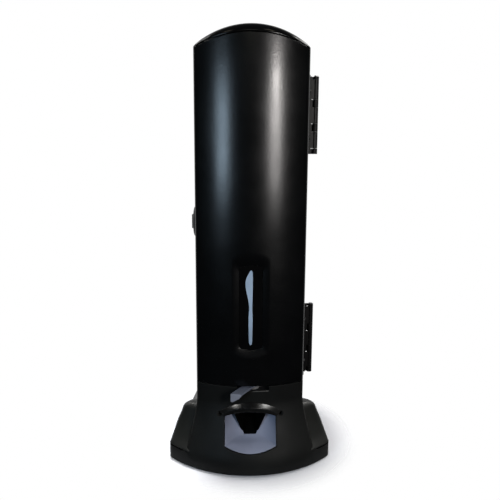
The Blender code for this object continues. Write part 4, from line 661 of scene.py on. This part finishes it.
def make_door():
    """The door: a bowed skin with turned sides, and a bevelled recess moulded in one with it."""
    fixed = spread(-WINDOW_WIDTH / 2, WINDOW_WIDTH / 2, WINDOW_COLUMNS)
    plan = tower_plan(0, fixed)
    inner_plan = tower_plan(WALL, [x * (1 + 2 * BOSS_MARGIN / WINDOW_WIDTH) for x in fixed])
    outer, inner = [], []
    for (x, y), (inner_x, inner_y) in zip(plan, inner_plan):
        low, high = opening(x, WINDOW_WIDTH, WINDOW_TOP, WINDOW_BOTTOM, WINDOW_ARCH)
        top = eaves(x) - DOOR_HEAD_GAP
        outer.append([(x, y, z) for z in bands((DOOR_FOOT, low, high, top), DOOR_ROWS)])
        limits = (DOOR_FOOT, low - BOSS_MARGIN, high + BOSS_MARGIN, top)
        inner.append([(inner_x, inner_y, z) for z in bands(limits, DOOR_ROWS)])

    first, last = FIRST_FIXED, FIRST_FIXED + WINDOW_COLUMNS
    foot, head, top_row = accumulate(DOOR_ROWS)
    window = {(c, r) for c in range(first, last) for r in range(foot, head)}
    cells = [(c, r) for c in range(len(plan) - 1) for r in range(top_row) if (c, r) not in window]
    vertices, faces = walled_grid(outer, inner, cells)

    loop = [(c, foot) for c in range(first, last)] + [(last, r) for r in range(foot, head)]
    loop += [(c, head) for c in range(last, first, -1)] + [(first, r) for r in range(head, foot, -1)]
    rows = len(outer[0])
    inner_start = len(plan) * rows
    surface = [column * rows + row for column, row in loop]

    def is_window_wall(face):
        return len(set(surface).intersection(face)) == 2 and min(face) < inner_start <= max(face)

    def recess(ahead, grow):
        """A loop this far in front of the tower's corners: the panel's opening, grown."""
        ring = []
        for column, row in loop:
            across = mix(-1, 1, (column - first) / (last - first)) * (PANEL_WIDTH / 2 + grow)
            low, high = opening(across, PANEL_WIDTH, PANEL_TOP + grow, PANEL_BOTTOM - grow, PANEL_ARCH)
            ring.append((across, CORNER_Y - ahead, mix(low, high, (row - foot) / (head - foot))))
        return ring

    faces = [face for face in faces if not is_window_wall(face)]
    land = PANEL_AHEAD - PANEL_LAND
    boss = (WINDOW_WIDTH - PANEL_WIDTH) / 2 + BOSS_MARGIN
    chain = [surface]
    for ring in (recess(PANEL_AHEAD, 0), recess(land, 0), recess(land, boss / 2)):
        chain.append(range(len(vertices), len(vertices) + len(ring)))
        vertices += ring
    chain.append([inner_start + number for number in surface])
    for near, far in zip(chain, chain[1:]):
        faces += joined(near, far)
    soften(mesh_piece("door_front", (vertices, faces), "door", "satin_tower", "door_shell"))


def cap_ring(inset, share):
    """The lid's plan, moved inwards, at a share of the height from the eaves to the roof."""
    front = tower_plan(inset, spread(-PLAN_MIDDLE, PLAN_MIDDLE, CAP_COLUMNS))
    corner = max(TOWER_REAR_CORNER - inset, LEAST_CORNER)
    end, back_y = TOWER_HALF - inset - corner, TOWER_BACK - inset
    right = arc_points((end, back_y - corner), corner, 0, math.pi / 2)
    back_count = len(front) - 2 * len(right) - 1
    back = [(x, back_y) for x in spread(end, -end, back_count + 1)[1:-1]]
    plan = front + right + back + mirrored(right)
    return [(x, y, mix(eaves(x), roof(x), share)) for x, y in plan]


def make_cap():
    """An arched glossy lid with a bullnose rim."""
    insets = (ROOF_EDGE + CAP_UNDERLAP, CAP_SEAM_INSET)
    rings = [cap_ring(inset, CAP_SINK_SHARE) for inset in insets]
    for angle in spread(0, math.pi / 2, CAP_STEPS):
        rings.append(cap_ring(ROOF_EDGE * (1 - math.cos(angle)), math.sin(angle)))
    vertices, faces = ring_faces(rings)
    count = len(rings[0])
    for base in (0, len(vertices) - count):
        for i in range(count // 2):
            across = dict.fromkeys((i, i + 1, (count - i - 1) % count, (count - i) % count))
            faces.append(tuple(base + corner for corner in across))
    mesh_piece("roof_lid", (vertices, faces), "base", "gloss_cap", "top_cap")


def rim_point(place, inset, side):
    """A point of the rim beside the skirt's foot: place counts from the seam end to the front."""
    radius = BASE_ARC - inset
    x = mix(FLARE_HALF + RIM_REACH, FLARE_HALF - RIM_OVERLAP, place / SIDE_POINTS)
    x *= radius / BASE_ARC
    return side * x, BASE_ARC_Y - math.sqrt(radius**2 - x**2)


def base_side(centre, meet, corner, waist_half, rear_half, back_y, rear_corner):
    """Right side of the base's plan: the corner at its arc's end, the waist and the rear corner."""
    waist = (waist_half, CORNER_Y + BASE_WAIST_DEPTH)
    rear_centre = (rear_half - rear_corner, back_y - rear_corner)
    rear_start = tangent_angle(rear_centre, rear_corner, waist, 1)
    front = arc_points(centre, corner, meet, tangent_angle(centre, corner, waist, -1))
    return front + [waist] + arc_points(rear_centre, rear_corner, rear_start, math.pi / 2)


def rear_rim(inset):
    """Plan of the rim's sides and back, from the right side of the skirt round to the left."""
    radius, corner = BASE_ARC - inset, BASE_CORNER - inset
    centre, meet = corner_in_arc(BASE_HALF - inset, radius, BASE_ARC_Y, corner)
    start = -math.acos((FLARE_HALF + RIM_REACH) / BASE_ARC)
    right = arc_points((0, BASE_ARC_Y), radius, start, meet, RIM_STEPS)[1:-1]
    right += base_side(
        centre, meet, corner, BASE_WAIST_HALF - inset,
        BASE_REAR_HALF - inset, BASE_BACK - inset, BASE_REAR_CORNER - inset,
    )
    return right + mirrored(right)


def base_grid(inset, fixed):
    """Columns of points of the base's front and, up to the rim's top, of its sides and back."""
    columns = []
    neck = skirt_plan(0, inset, fixed)
    rim_limits = (SHELL_FOOT, RIM_TOP - SHOULDER_REACH, RIM_TOP)
    _, rim_row, *_ = accumulate(BASE_ROWS)
    for index, (x, _) in enumerate(neck):
        limits = rim_limits + (outlet_sill(x), outlet_head(x), SLOT_SILL, NECK_TOP)
        place = min(index, len(neck) - 1 - index)
        side = 1 if index > place else -1
        column = []
        for row, z in enumerate(bands(limits, BASE_ROWS)):
            if row <= rim_row and place < SIDE_POINTS - 1:
                column.append((*rim_point(place, inset, side), z))
            else:
                column.append((*skirt_point(index, z, inset, fixed), z))
        columns.append(column)
    heights = bands(rim_limits + (RIM_TOP,) * 4, BASE_ROWS)
    return columns + [[(x, y, z) for z in heights] for x, y in rear_rim(inset)]


def dimple(side):
    """Rings of the ball that presses a dimple beside the hood's end: side is 1 or -1."""
    x, z = side * (HOOD_HALF_SPAN + DIMPLE_SPREAD), HOOD_APEX - HOOD_DROP - DIMPLE_FALL
    centre = (x, skirt_y(x, z) - DIMPLE_RADIUS + DIMPLE_DEPTH)
    rings = []
    for tilt in spread(-math.pi / 2, math.pi / 2, DIMPLE_RINGS + 1)[1:-1]:
        radius, up = DIMPLE_RADIUS * math.cos(tilt), DIMPLE_RADIUS * math.sin(tilt)
        rings.append([(*point, z + up) for point in circle_points(centre, radius, DIMPLE_SIDES)])
    return rings


def paint_seam_shade(piece):
    """Paints the faces inside the seam between the rim and the wings near-black, as painted shade of a
    deep gap.
    """
    piece.data.materials.append(materials["inner_and_shade_black"])
    for face in piece.data.polygons:
        x, y, z = face.center
        inside = RIM_TOP - SEAM_BELOW < z < RIM_TOP + WING_GAP + SEAM_ABOVE
        level = abs(face.normal.z) > SEAM_LEVEL
        if inside and level and (abs(x) > SEAM_HALF or y > SEAM_FRONT):
            face.material_index = 1


def make_base_front():
    """The base's rim and flared skirt as one moulding, with the outlet and the lever's slot."""
    fixed = bands((-OUTLET_WIDTH / 2, SLOT_LEFT, SLOT_RIGHT, OUTLET_WIDTH / 2), BASE_COLUMNS)
    outer, inner = base_grid(0, fixed), base_grid(WALL, fixed)
    _, rim_row, sill, head, slot_row, top_row = accumulate(BASE_ROWS)
    front_end = len(skirt_plan(0, 0, fixed)) - 1
    cells = []
    for c in range(len(outer)):
        x = (outer[c][-1][0] + outer[(c + 1) % len(outer)][-1][0]) / 2
        for r in range(top_row):
            behind = c >= front_end and r >= rim_row
            in_outlet = FIRST_FIXED <= c < FIRST_FIXED + len(fixed) - 1 and sill <= r < head
            in_slot = SLOT_LEFT < x < SLOT_RIGHT and r >= slot_row
            if not (behind or in_outlet or in_slot):
                cells.append((c, r))
    shape = walled_grid(outer, inner, cells)
    piece = mesh_piece("base_front", shape, "base", "satin_base", "base_skirt")
    for side in (-1, 1):
        cut_by(piece, dimple(side))
    paint_seam_shade(piece)
    soften(piece)


def make_hood():
    """The visor over the outlet: a brushed crest that rolls over to an upright face."""
    arc = arc_radius(HOOD_HALF_SPAN, HOOD_DROP)
    end = math.asin(HOOD_HALF_SPAN / arc)
    rings = []
    for share in spread(-1, 1, HOOD_STEPS):
        crest_x = arc * math.sin(end * share)
        crest = Vector((crest_x, HOOD_APEX - arch(crest_x, arc)))
        lip_x = (OUTLET_WIDTH / 2 + HOOD_CHEEK) * share
        lip = Vector((lip_x, outlet_head(lip_x)))
        reach = HOOD_REACH * mix(HOOD_END_SHARE, 1, math.cos(share * math.pi / 2))
        section = [(*crest, -HOOD_ROOT)]
        section += [(*crest.lerp(lip, down), reach * out) for down, out in HOOD_SECTION_SHARES]
        section.append((*lip, -HOOD_ROOT))
        rings.append([(x, skirt_y(x, z) - out, z) for x, z, out in section])
    soften(mesh_piece("outlet_hood", capped_rings(rings), "base", "satin_hood", "base_skirt"))


def make_slot_lip():
    """The thin ledge along the foot of the lever's slot, in a grey much paler than the skirt: a painted
    highlight on the sill's edge.
    """
    rings = []
    for x in spread(LIP_LEFT, LIP_RIGHT, LIP_STEPS):
        y = skirt_y(x, SLOT_SILL)
        rings.append([(x, y + out, SLOT_SILL + up) for out, up in LIP_SECTION])
    soften(mesh_piece("slot_lip", capped_rings(rings), "base", "slot_edge_highlight", "base_skirt"))


def wing_ring(height, inset, setback, rear_inset):
    """The housing's plan at one level of the wings' profile."""
    centre_y = BASE_ARC_Y + WING_SETBACK * setback
    centre, meet = corner_in_arc(BASE_HALF - WING_INSET * inset, BASE_ARC, centre_y, WING_CORNER)
    start = -math.acos(WING_FRONT_SHARE * centre[0] / BASE_ARC)
    right = arc_points((0, centre_y), BASE_ARC, start, meet, WING_STEPS)[:-1]
    right += base_side(
        centre, meet, WING_CORNER, BASE_WAIST_HALF - WING_WAIST_INSET * rear_inset,
        BASE_REAR_HALF - WING_REAR_INSET * rear_inset,
        BASE_BACK - WING_BACK_INSET * rear_inset, BASE_REAR_CORNER,
    )
    z = mix(RIM_TOP + WING_GAP, WING_TOP, height)
    return [(x, y, z) for x, y in right + mirrored(right)]


def skirt_envelope():
    """Rings that enclose the skirt and the tower, with the clearance of the housing."""
    side, back = TOWER_HALF + WING_CLEARANCE, TOWER_BACK + WING_CLEARANCE
    rear = [
        (side, SEAM_Y + WING_CLEARANCE),
        (side, back - TOWER_REAR_CORNER),
        (side - TOWER_REAR_CHAMFER, back - TOWER_REAR_CHAMFER),
        (side - TOWER_REAR_CORNER, back),
    ]
    fixed = spread(-PLAN_MIDDLE, PLAN_MIDDLE, ENVELOPE_COLUMNS)
    rings = []
    for z in [RIM_TOP - ENVELOPE_FOOT] + spread(RIM_TOP, FLARE_TOP, ENVELOPE_STEPS):
        share = flare_share(z)
        half, _, _, corner = skirt_section(share)
        front = skirt_plan(share, -WING_CLEARANCE, fixed)
        front = [(x, y - min(ENVELOPE_PUSH, max(half - corner - abs(x), 0))) for x, y in front]
        rings.append([(x, y, z) for x, y in front + rear + mirrored(rear)])
    rings[0] = [(x, y - ENVELOPE_FOOT_PUSH if y < SEAM_Y else y, z) for x, y, z in rings[0]]
    return rings


def make_housing():
    """The winged housing that sits on the rim and wraps round the skirt and the tower."""
    profile = [WING_PROFILE_SHARES[0]] + smooth_path(WING_PROFILE_SHARES, first=1)
    shape = capped_rings([wing_ring(*shares) for shares in profile])
    housing = mesh_piece("base_wings", shape, "base", "satin_wing", "base_housing")
    cut_by(housing, skirt_envelope())
    housing.data.set_sharp_from_angle(angle=WING_SHARP)
    paint_seam_shade(housing)


def loop_with_sides(sill, head):
    """A loop of points (x, z) along a sill and a head, with points between their ends."""

    def side(start, end):
        xs, zs = (spread(a, b, CHUTE_SIDE_STEPS) for a, b in zip(start, end))
        return list(zip(xs, zs))[1:-1]

    return sill + side(sill[-1], head[-1]) + head[::-1] + side(head[0], sill[0])


def make_chute():
    """A glossy scoop: three flat walls that roll into a V-shaped mouth."""

    def across(width):
        return spread(-width / 2, width / 2, CHUTE_COLUMNS)

    xs = across(OUTLET_WIDTH - 2 * CHUTE_CLEARANCE)
    frame_loop = loop_with_sides(
        [(x, outlet_sill(x) + CHUTE_CLEARANCE) for x in xs],
        [(x, outlet_head(x) - CHUTE_CLEARANCE) for x in xs],
    )
    mouth_loop = loop_with_sides(
        [(x, MOUTH_BOTTOM) for x in across(MOUTH_BOTTOM_WIDTH)],
        [(x, MOUTH_TOP) for x in across(MOUTH_TOP_WIDTH)],
    )
    rings = []
    for share in SCOOP_RING_SHARES:
        deep = min(share + SCOOP_SHARE * math.sin(math.pi * share), SCOOP_LIMIT)
        ring = []
        for (x0, z0), (x1, z1) in zip(frame_loop, mouth_loop):
            up = (z1 - MOUTH_BOTTOM) / (MOUTH_TOP - MOUTH_BOTTOM)
            start_y = skirt_y(x0, z0) + CHUTE_RECESS
            mouth_y = CORNER_Y + mix(MOUTH_DEPTH, MOUTH_TOP_DEPTH, up)
            ring.append((mix(x0, x1, share), mix(start_y, mouth_y, deep), mix(z0, z1, share)))
        rings.append(ring)
    back = [[(x * (1 + MOUTH_GROWTH), y + CHUTE_WALL, z + (z - MOUTH_MIDDLE) * MOUTH_GROWTH)
             for x, y, z in rings[-1]]]
    for ring in reversed(rings[1:-1:BACK_RING_STRIDE]):
        back.append([(x, y + CHUTE_WALL + CHUTE_SWELL, z) for x, y, z in ring])
    back.append([(x, y + WALL + CHUTE_CLEARANCE, z) for x, y, z in rings[0]])
    shape = ring_faces(rings + back, closed=True)
    chute = mesh_piece("outlet_scoop", shape, "base", "grey_blue", "outlet_chute")
    chute.data.set_sharp_from_angle(angle=CHUTE_SHARP)
    soften(chute)


def make_sign():
    """The table knife, blade up, as a thin pale inlay with a smooth outline."""
    left = SIGN_OFFSET - SIGN_WIDTH / 2
    sides = []
    for edge in (1, 2):
        sides.append(smooth_path([
            (left + SIGN_WIDTH * row[edge], mix(SIGN_BOTTOM, SIGN_TOP, row[0]))
            for row in SIGN_OUTLINE_SHARES
        ]))
    outline = sides[0] + sides[1][::-1]
    back = CORNER_Y - PANEL_AHEAD
    rings = [[(x, y, z) for x, z in outline] for y in (back - SIGN_THICKNESS, back)]
    vertices, faces = ring_faces(rings)
    count = len(outline)
    for base in (0, count):
        for i in range(len(sides[0]) - 1):
            faces.append((base + i, base + i + 1, base + count - 2 - i, base + count - 1 - i))
    soften(mesh_piece("knife_inlay", (vertices, faces), "door", "sign_blue", "knife_sign"))


def make_lever():
    """The push lever: a flat arm round its pivot, with a stepped paddle folded down at its end."""
    centre = Vector((PIVOT_X, CORNER_Y - PIVOT_AHEAD))
    ahead = Vector((-math.sin(LEVER_LEAN), -math.cos(LEVER_LEAN)))
    across = Vector((math.cos(LEVER_LEAN), -math.sin(LEVER_LEAN)))
    top = NECK_TOP - LEVER_HEADROOM
    half = LEVER_WIDTH / 2
    meet = math.atan2(half, math.sqrt(LEVER_HUB_RADIUS**2 - half**2))

    def place(length, side):
        return centre + ahead * length + across * side

    def round_pivot(radius):
        turn = arc_points((0, 0), radius, -meet, meet - 2 * math.pi, LEVER_STEPS)
        return [place(*point) for point in turn]

    left, right = place(LEVER_LONG_SIDE, -half), place(LEVER_SHORT_SIDE, half)
    points = round_pivot(LEVER_HUB_RADIUS) + round_pivot(LEVER_BORE) + [left, right]
    vertices = [(p.x, p.y, z) for z in (top - LEVER_THICKNESS, top) for p in points]
    n, count = LEVER_STEPS + 1, len(points)

    def wall(a, b):
        return a, b, count + b, count + a

    faces = []
    for i in range(n - 1):
        for low in (i, count + i):
            faces.append((low, low + 1, low + n + 1, low + n))
        faces += [wall(i, i + 1), wall(n + i, n + i + 1)]
    faces.append(wall(2 * n - 1, n))
    for low in (0, count):
        faces.append(tuple(low + i for i in (0, n, 2 * n - 1, n - 1, 2 * n + 1, 2 * n)))
    faces += [wall(0, 2 * n), wall(2 * n, 2 * n + 1), wall(2 * n + 1, n - 1)]
    soften(mesh_piece("lever_arm", (vertices, faces), "lever", "grey_lever_top", "push_lever"))
    make_paddle(left, right, top)


def make_paddle(left, right, top):
    """The stepped plate that hangs between the two corners of the arm's end."""
    edge = right - left
    inward = Vector((-edge.y, edge.x)).normalized()
    rings = []
    for shift in (-PADDLE_OVERHANG, PADDLE_THICKNESS):
        ring = []
        for side, height in PADDLE_OUTLINE_SHARES:
            spot = left + edge * side + inward * shift
            ring.append((spot.x, spot.y, mix(top - PADDLE_HEIGHT, top - PADDLE_SINK, height)))
        rings.append(ring)
    soften(mesh_piece("lever_paddle", capped_rings(rings), "lever", "grey_lever", "push_lever"))


def make_spring():
    """The return spring as a round wire in the CAD spring's box, its end turns closer than the others."""
    low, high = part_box("return_spring")
    middle = (low + high) / 2
    radius = (high.z - low.z) / 2 - SPRING_WIRE
    length = high.x - low.x - 2 * SPRING_WIRE
    active = SPRING_TURNS - 2
    open_length = length - 2 * SPRING_END_PITCH

    def along(turn):
        opened = min(max(turn - 1, 0), active)
        ends = (turn - opened) * SPRING_END_PITCH
        return low.x + SPRING_WIRE + ends + opened / active * open_length

    rings = []
    for turn in spread(0, SPRING_TURNS, SPRING_TURNS * SPRING_STEPS):
        angle = 2 * math.pi * turn
        out = Vector((0, math.cos(angle), math.sin(angle)))
        rise = along(turn + TURN_STEP) - along(turn - TURN_STEP)
        slope = rise / (2 * TURN_STEP * 2 * math.pi * radius)
        forward = Vector((slope, -math.sin(angle), math.cos(angle))).normalized()
        side = forward.cross(out)
        centre = Vector((along(turn), middle.y, middle.z)) + out * radius
        rings.append([
            tuple(centre + (out * math.cos(a) + side * math.sin(a)) * SPRING_WIRE)
            for a in spread(0, 2 * math.pi, WIRE_SIDES)[:-1]
        ])
    coil = mesh_piece("return_coil", capped_rings(rings), "base", "steel", "return_spring")
    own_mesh(coil)


def add_camera():
    data = bpy.data.cameras.new("camera")
    data.sensor_width = SENSOR
    data.lens = FOCAL_PIXELS / IMAGE_PIXELS * SENSOR
    data.clip_start = CLIP_START
    turn = Matrix.Rotation(CAMERA_YAW, 4, "Z") @ Matrix.Rotation(-CAMERA_PITCH, 4, "X")
    turn = turn @ Matrix.Rotation(CAMERA_ROLL, 4, "Y") @ Matrix.Rotation(math.pi / 2, 4, "X")
    camera = add_object("camera", data)
    camera.matrix_world = Matrix.Translation(CAMERA_PLACE) @ turn
    bpy.context.scene.camera = camera


def polar(azimuth, elevation, distance):
    """A place round the aim point, and the way to it: azimuth 0 is in front, and 90 to the right."""
    a, e = math.radians(azimuth), math.radians(elevation)
    away = Vector((math.sin(a) * math.cos(e), -math.cos(a) * math.cos(e), math.sin(e)))
    return Vector(AIM) + away * distance, away


def add_lamps():
    for name, values in SOFTBOXES.items():
        azimuth, elevation, width, height, distance, power, colour, reflected = values
        data = bpy.data.lights.new(name, "AREA")
        data.shape = "RECTANGLE"
        data.size = width
        data.size_y = height
        data.energy = power
        data.color = colour
        lamp = add_object(name, data)
        lamp.location, away = polar(azimuth, elevation, distance)
        lamp.rotation_euler = away.to_track_quat("Z", "Y").to_euler()
        lamp.visible_glossy = reflected


class Nodes:
    """A short way to add and join shader nodes."""

    def __init__(self, tree):
        self.tree = tree

    def add(self, kind, **settings):
        node = self.tree.nodes.new("ShaderNode" + kind)
        for key, value in settings.items():
            setattr(node, key, value)
        return node

    def put(self, socket, value):
        """Links a socket or sets a plain value."""
        if isinstance(value, bpy.types.NodeSocket):
            self.tree.links.new(value, socket)
        else:
            socket.default_value = value

    def math(self, operation, a, b):
        node = self.add("Math", operation=operation)
        self.put(node.inputs[0], a)
        self.put(node.inputs[1], b)
        return node.outputs[0]

    def spread(self, value, low, high, start=0.0, end=1.0, smooth=True):
        """Maps low..high to start..end, clamped."""
        curve = "SMOOTHSTEP" if smooth else "LINEAR"
        node = self.add("MapRange", clamp=True, interpolation_type=curve)
        self.put(node.inputs["Value"], value)
        self.put(node.inputs["From Min"], low)
        self.put(node.inputs["From Max"], high)
        self.put(node.inputs["To Min"], start)
        self.put(node.inputs["To Max"], end)
        return node.outputs["Result"]

    def blend(self, share, first, second):
        """Mixes two colours. The node's colours go in at sockets 6 and 7, and come out at 2."""
        node = self.add("Mix", data_type="RGBA")
        self.put(node.inputs["Factor"], share)
        self.put(node.inputs[6], first)
        self.put(node.inputs[7], second)
        return node.outputs[2]

    def noise(self, where, scale, detail, roughness=0.5):
        node = self.add("TexNoise")
        self.put(node.inputs["Vector"], where)
        self.put(node.inputs["Scale"], scale)
        self.put(node.inputs["Detail"], detail)
        self.put(node.inputs["Roughness"], roughness)
        return node.outputs["Fac"]


def new_material(name):
    """A material, its nodes and the inputs of its shader."""
    material = bpy.data.materials.new(name)
    material.use_nodes = True
    tree = material.node_tree
    return material, Nodes(tree), tree.nodes["Principled BSDF"].inputs


def set_world():
    """White to the camera. The object is lit, and reflected in, pale surroundings, dark in front."""
    world = bpy.data.worlds.new("studio")
    bpy.context.scene.world = world
    world.use_nodes = True
    nodes = Nodes(world.node_tree)
    shader = world.node_tree.nodes["Background"]
    parts = nodes.add("SeparateXYZ")
    nodes.put(parts.inputs[0], nodes.add("TexCoord").outputs["Generated"])
    ahead = nodes.math("MULTIPLY", parts.outputs["Y"], -1.0)
    dark = nodes.spread(ahead, *(math.cos(angle) for angle in SIDE_ANGLES))
    level = nodes.spread(dark, 0.0, 1.0, SURROUND, DARK_SIDE, smooth=False)
    path = nodes.add("LightPath").outputs
    behind = nodes.spread(ahead, *BACKDROP_RANGE)
    reflected = nodes.math("MULTIPLY", path["Is Glossy Ray"], behind)
    seen = nodes.math("MAXIMUM", path["Is Camera Ray"], reflected)
    seen = nodes.math("MAXIMUM", seen, path["Is Transmission Ray"])
    strength = nodes.math("MAXIMUM", nodes.math("MULTIPLY", seen, BACKGROUND), level)
    nodes.put(shader.inputs["Strength"], strength)
    shader.inputs["Color"].default_value = (1, 1, 1, 1)


def add_floor():
    """A round bluish-grey floor whose edge fades into the background: the grey fading outward round the
    base is painted contact shadow, besides the cast shadow.
    """
    points = [(x, y, 0) for x, y in circle_points((0, 0), FLOOR_RADIUS, FLOOR_SIDES)]
    mesh = bpy.data.meshes.new("floor")
    mesh.from_pydata(points, [], [tuple(range(FLOOR_SIDES))])
    floor = add_object("floor", mesh)
    material, nodes, inputs = new_material("floor")
    nodes.put(inputs["Base Color"], (*FLOOR_COLOUR, 1))
    nodes.put(inputs["Roughness"], FLOOR_ROUGHNESS)
    nodes.put(inputs["Specular IOR Level"], 0.0)
    length = nodes.add("VectorMath", operation="LENGTH")
    nodes.put(length.inputs[0], nodes.add("TexCoord").outputs["Object"])
    fade = nodes.spread(length.outputs["Value"], FLOOR_FADE_START, FLOOR_RADIUS, 1.0, 0.0)
    nodes.put(inputs["Alpha"], fade)
    mesh.materials.append(material)


def finish(slot):
    """A moulded or machined surface: fine grain, uneven gloss, faint tone shifts, and paler edges that
    are partly wear and partly painted highlight.
    """
    colour, roughness, specular, depth, scale, edge = FINISHES[slot]
    material, nodes, inputs = new_material(slot)
    nodes.put(inputs["Metallic"], 1.0 if "steel" in slot else 0.0)
    nodes.put(inputs["Specular IOR Level"], specular)
    where = nodes.add("TexCoord").outputs["Object"]

    # Paler edges: partly rubbed wear, partly a painted highlight where the rounded edges would catch
    # light.
    rounded = nodes.add("Bevel", samples=EDGE_SAMPLES)
    nodes.put(rounded.inputs["Radius"], edge)
    facing = nodes.add("VectorMath", operation="DOT_PRODUCT")
    nodes.put(facing.inputs[0], rounded.outputs[0])
    nodes.put(facing.inputs[1], nodes.add("NewGeometry").outputs["Normal"])
    wear_sheen = nodes.spread(facing.outputs["Value"], *WEAR_SHEEN_FACING)
    patches = nodes.noise(where, WEAR_SHEEN_SCALE, detail=4)
    wear_sheen = nodes.math("MULTIPLY", wear_sheen, nodes.spread(patches, *WEAR_SHEEN_BAND, *WEAR_SHEEN_SHARES))

    tone = nodes.noise(where, TONE_SCALE, detail=3)
    dark, pale = ((*(c * share for c in colour), 1) for share in TONE_SHARES)
    worn_sheen = (*(min(c * WORN_SHEEN_GAIN + WORN_SHEEN_LIFT, 1) for c in colour), 1)
    base = nodes.blend(nodes.spread(tone, *TONE_BAND), dark, pale)
    nodes.put(inputs["Base Color"], nodes.blend(wear_sheen, base, worn_sheen))

    smudge = nodes.noise(where, SMUDGE_SCALE, detail=5, roughness=0.6)
    gloss = nodes.spread(smudge, *SMUDGE_BAND, *(roughness * share for share in SMUDGE_SHARES))
    rubbed = nodes.math("MULTIPLY", wear_sheen, WEAR_ROUGHNESS)
    nodes.put(inputs["Roughness"], nodes.math("ADD", gloss, rubbed))

    bump = nodes.add("Bump")
    nodes.put(bump.inputs["Strength"], GRAIN_STRENGTH)
    nodes.put(bump.inputs["Distance"], depth)
    nodes.put(bump.inputs["Height"], nodes.noise(where, scale, detail=2))
    nodes.put(bump.inputs["Normal"], rounded.outputs[0])
    nodes.put(inputs["Normal"], bump.outputs[0])
    return material


def dress(nodes, record):
    """Gives every CAD node its own finish, or else the finish of its material slot."""
    for part in record["subparts"]:
        slot = part["material_slot"]
        for start, own in OWN_FINISHES.items():
            if part["node"].startswith(start):
                slot = own
        mesh = nodes[part["node"]].data
        mesh.materials.clear()
        mesh.materials.append(materials[slot])


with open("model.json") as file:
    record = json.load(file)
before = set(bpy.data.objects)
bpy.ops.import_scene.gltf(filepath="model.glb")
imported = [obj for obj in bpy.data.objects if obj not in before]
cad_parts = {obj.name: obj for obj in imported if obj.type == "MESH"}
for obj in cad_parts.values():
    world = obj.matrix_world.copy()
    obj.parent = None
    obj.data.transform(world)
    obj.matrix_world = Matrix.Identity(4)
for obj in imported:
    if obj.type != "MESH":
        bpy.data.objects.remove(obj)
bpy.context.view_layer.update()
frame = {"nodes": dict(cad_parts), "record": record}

door_low, door_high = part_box("door_shell")
TOWER_HALF = door_high.x
SEAM_Y = door_high.y
DOOR_FOOT = door_low.z
CORNER_Y = door_low.y + TOWER_BULGE
TOWER_ARC = arc_radius(TOWER_HALF, TOWER_BULGE)
TOWER_ARC_Y = door_low.y + TOWER_ARC
TOWER_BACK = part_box("rear_shell")[1].y
ROOF_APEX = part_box("top_cap")[1].z
FLARE_HALF = TOWER_HALF + FLARE_SPREAD
BASE_HALF, BASE_BACK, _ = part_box("base_skirt")[1]
BASE_ARC = arc_radius(BASE_HALF, BASE_BULGE)
BASE_ARC_Y = CORNER_Y - BASE_BULGE + BASE_ARC

materials = {slot: finish(slot) for slot in FINISHES}
dress(frame["nodes"], frame["record"])
make_door()
make_cap()
make_base_front()
make_hood()
make_slot_lip()
make_housing()
make_chute()
make_sign()
make_lever()
make_spring()
add_camera()
add_lamps()
set_world()
add_floor()
bpy.context.scene.view_settings.view_transform = "Standard"
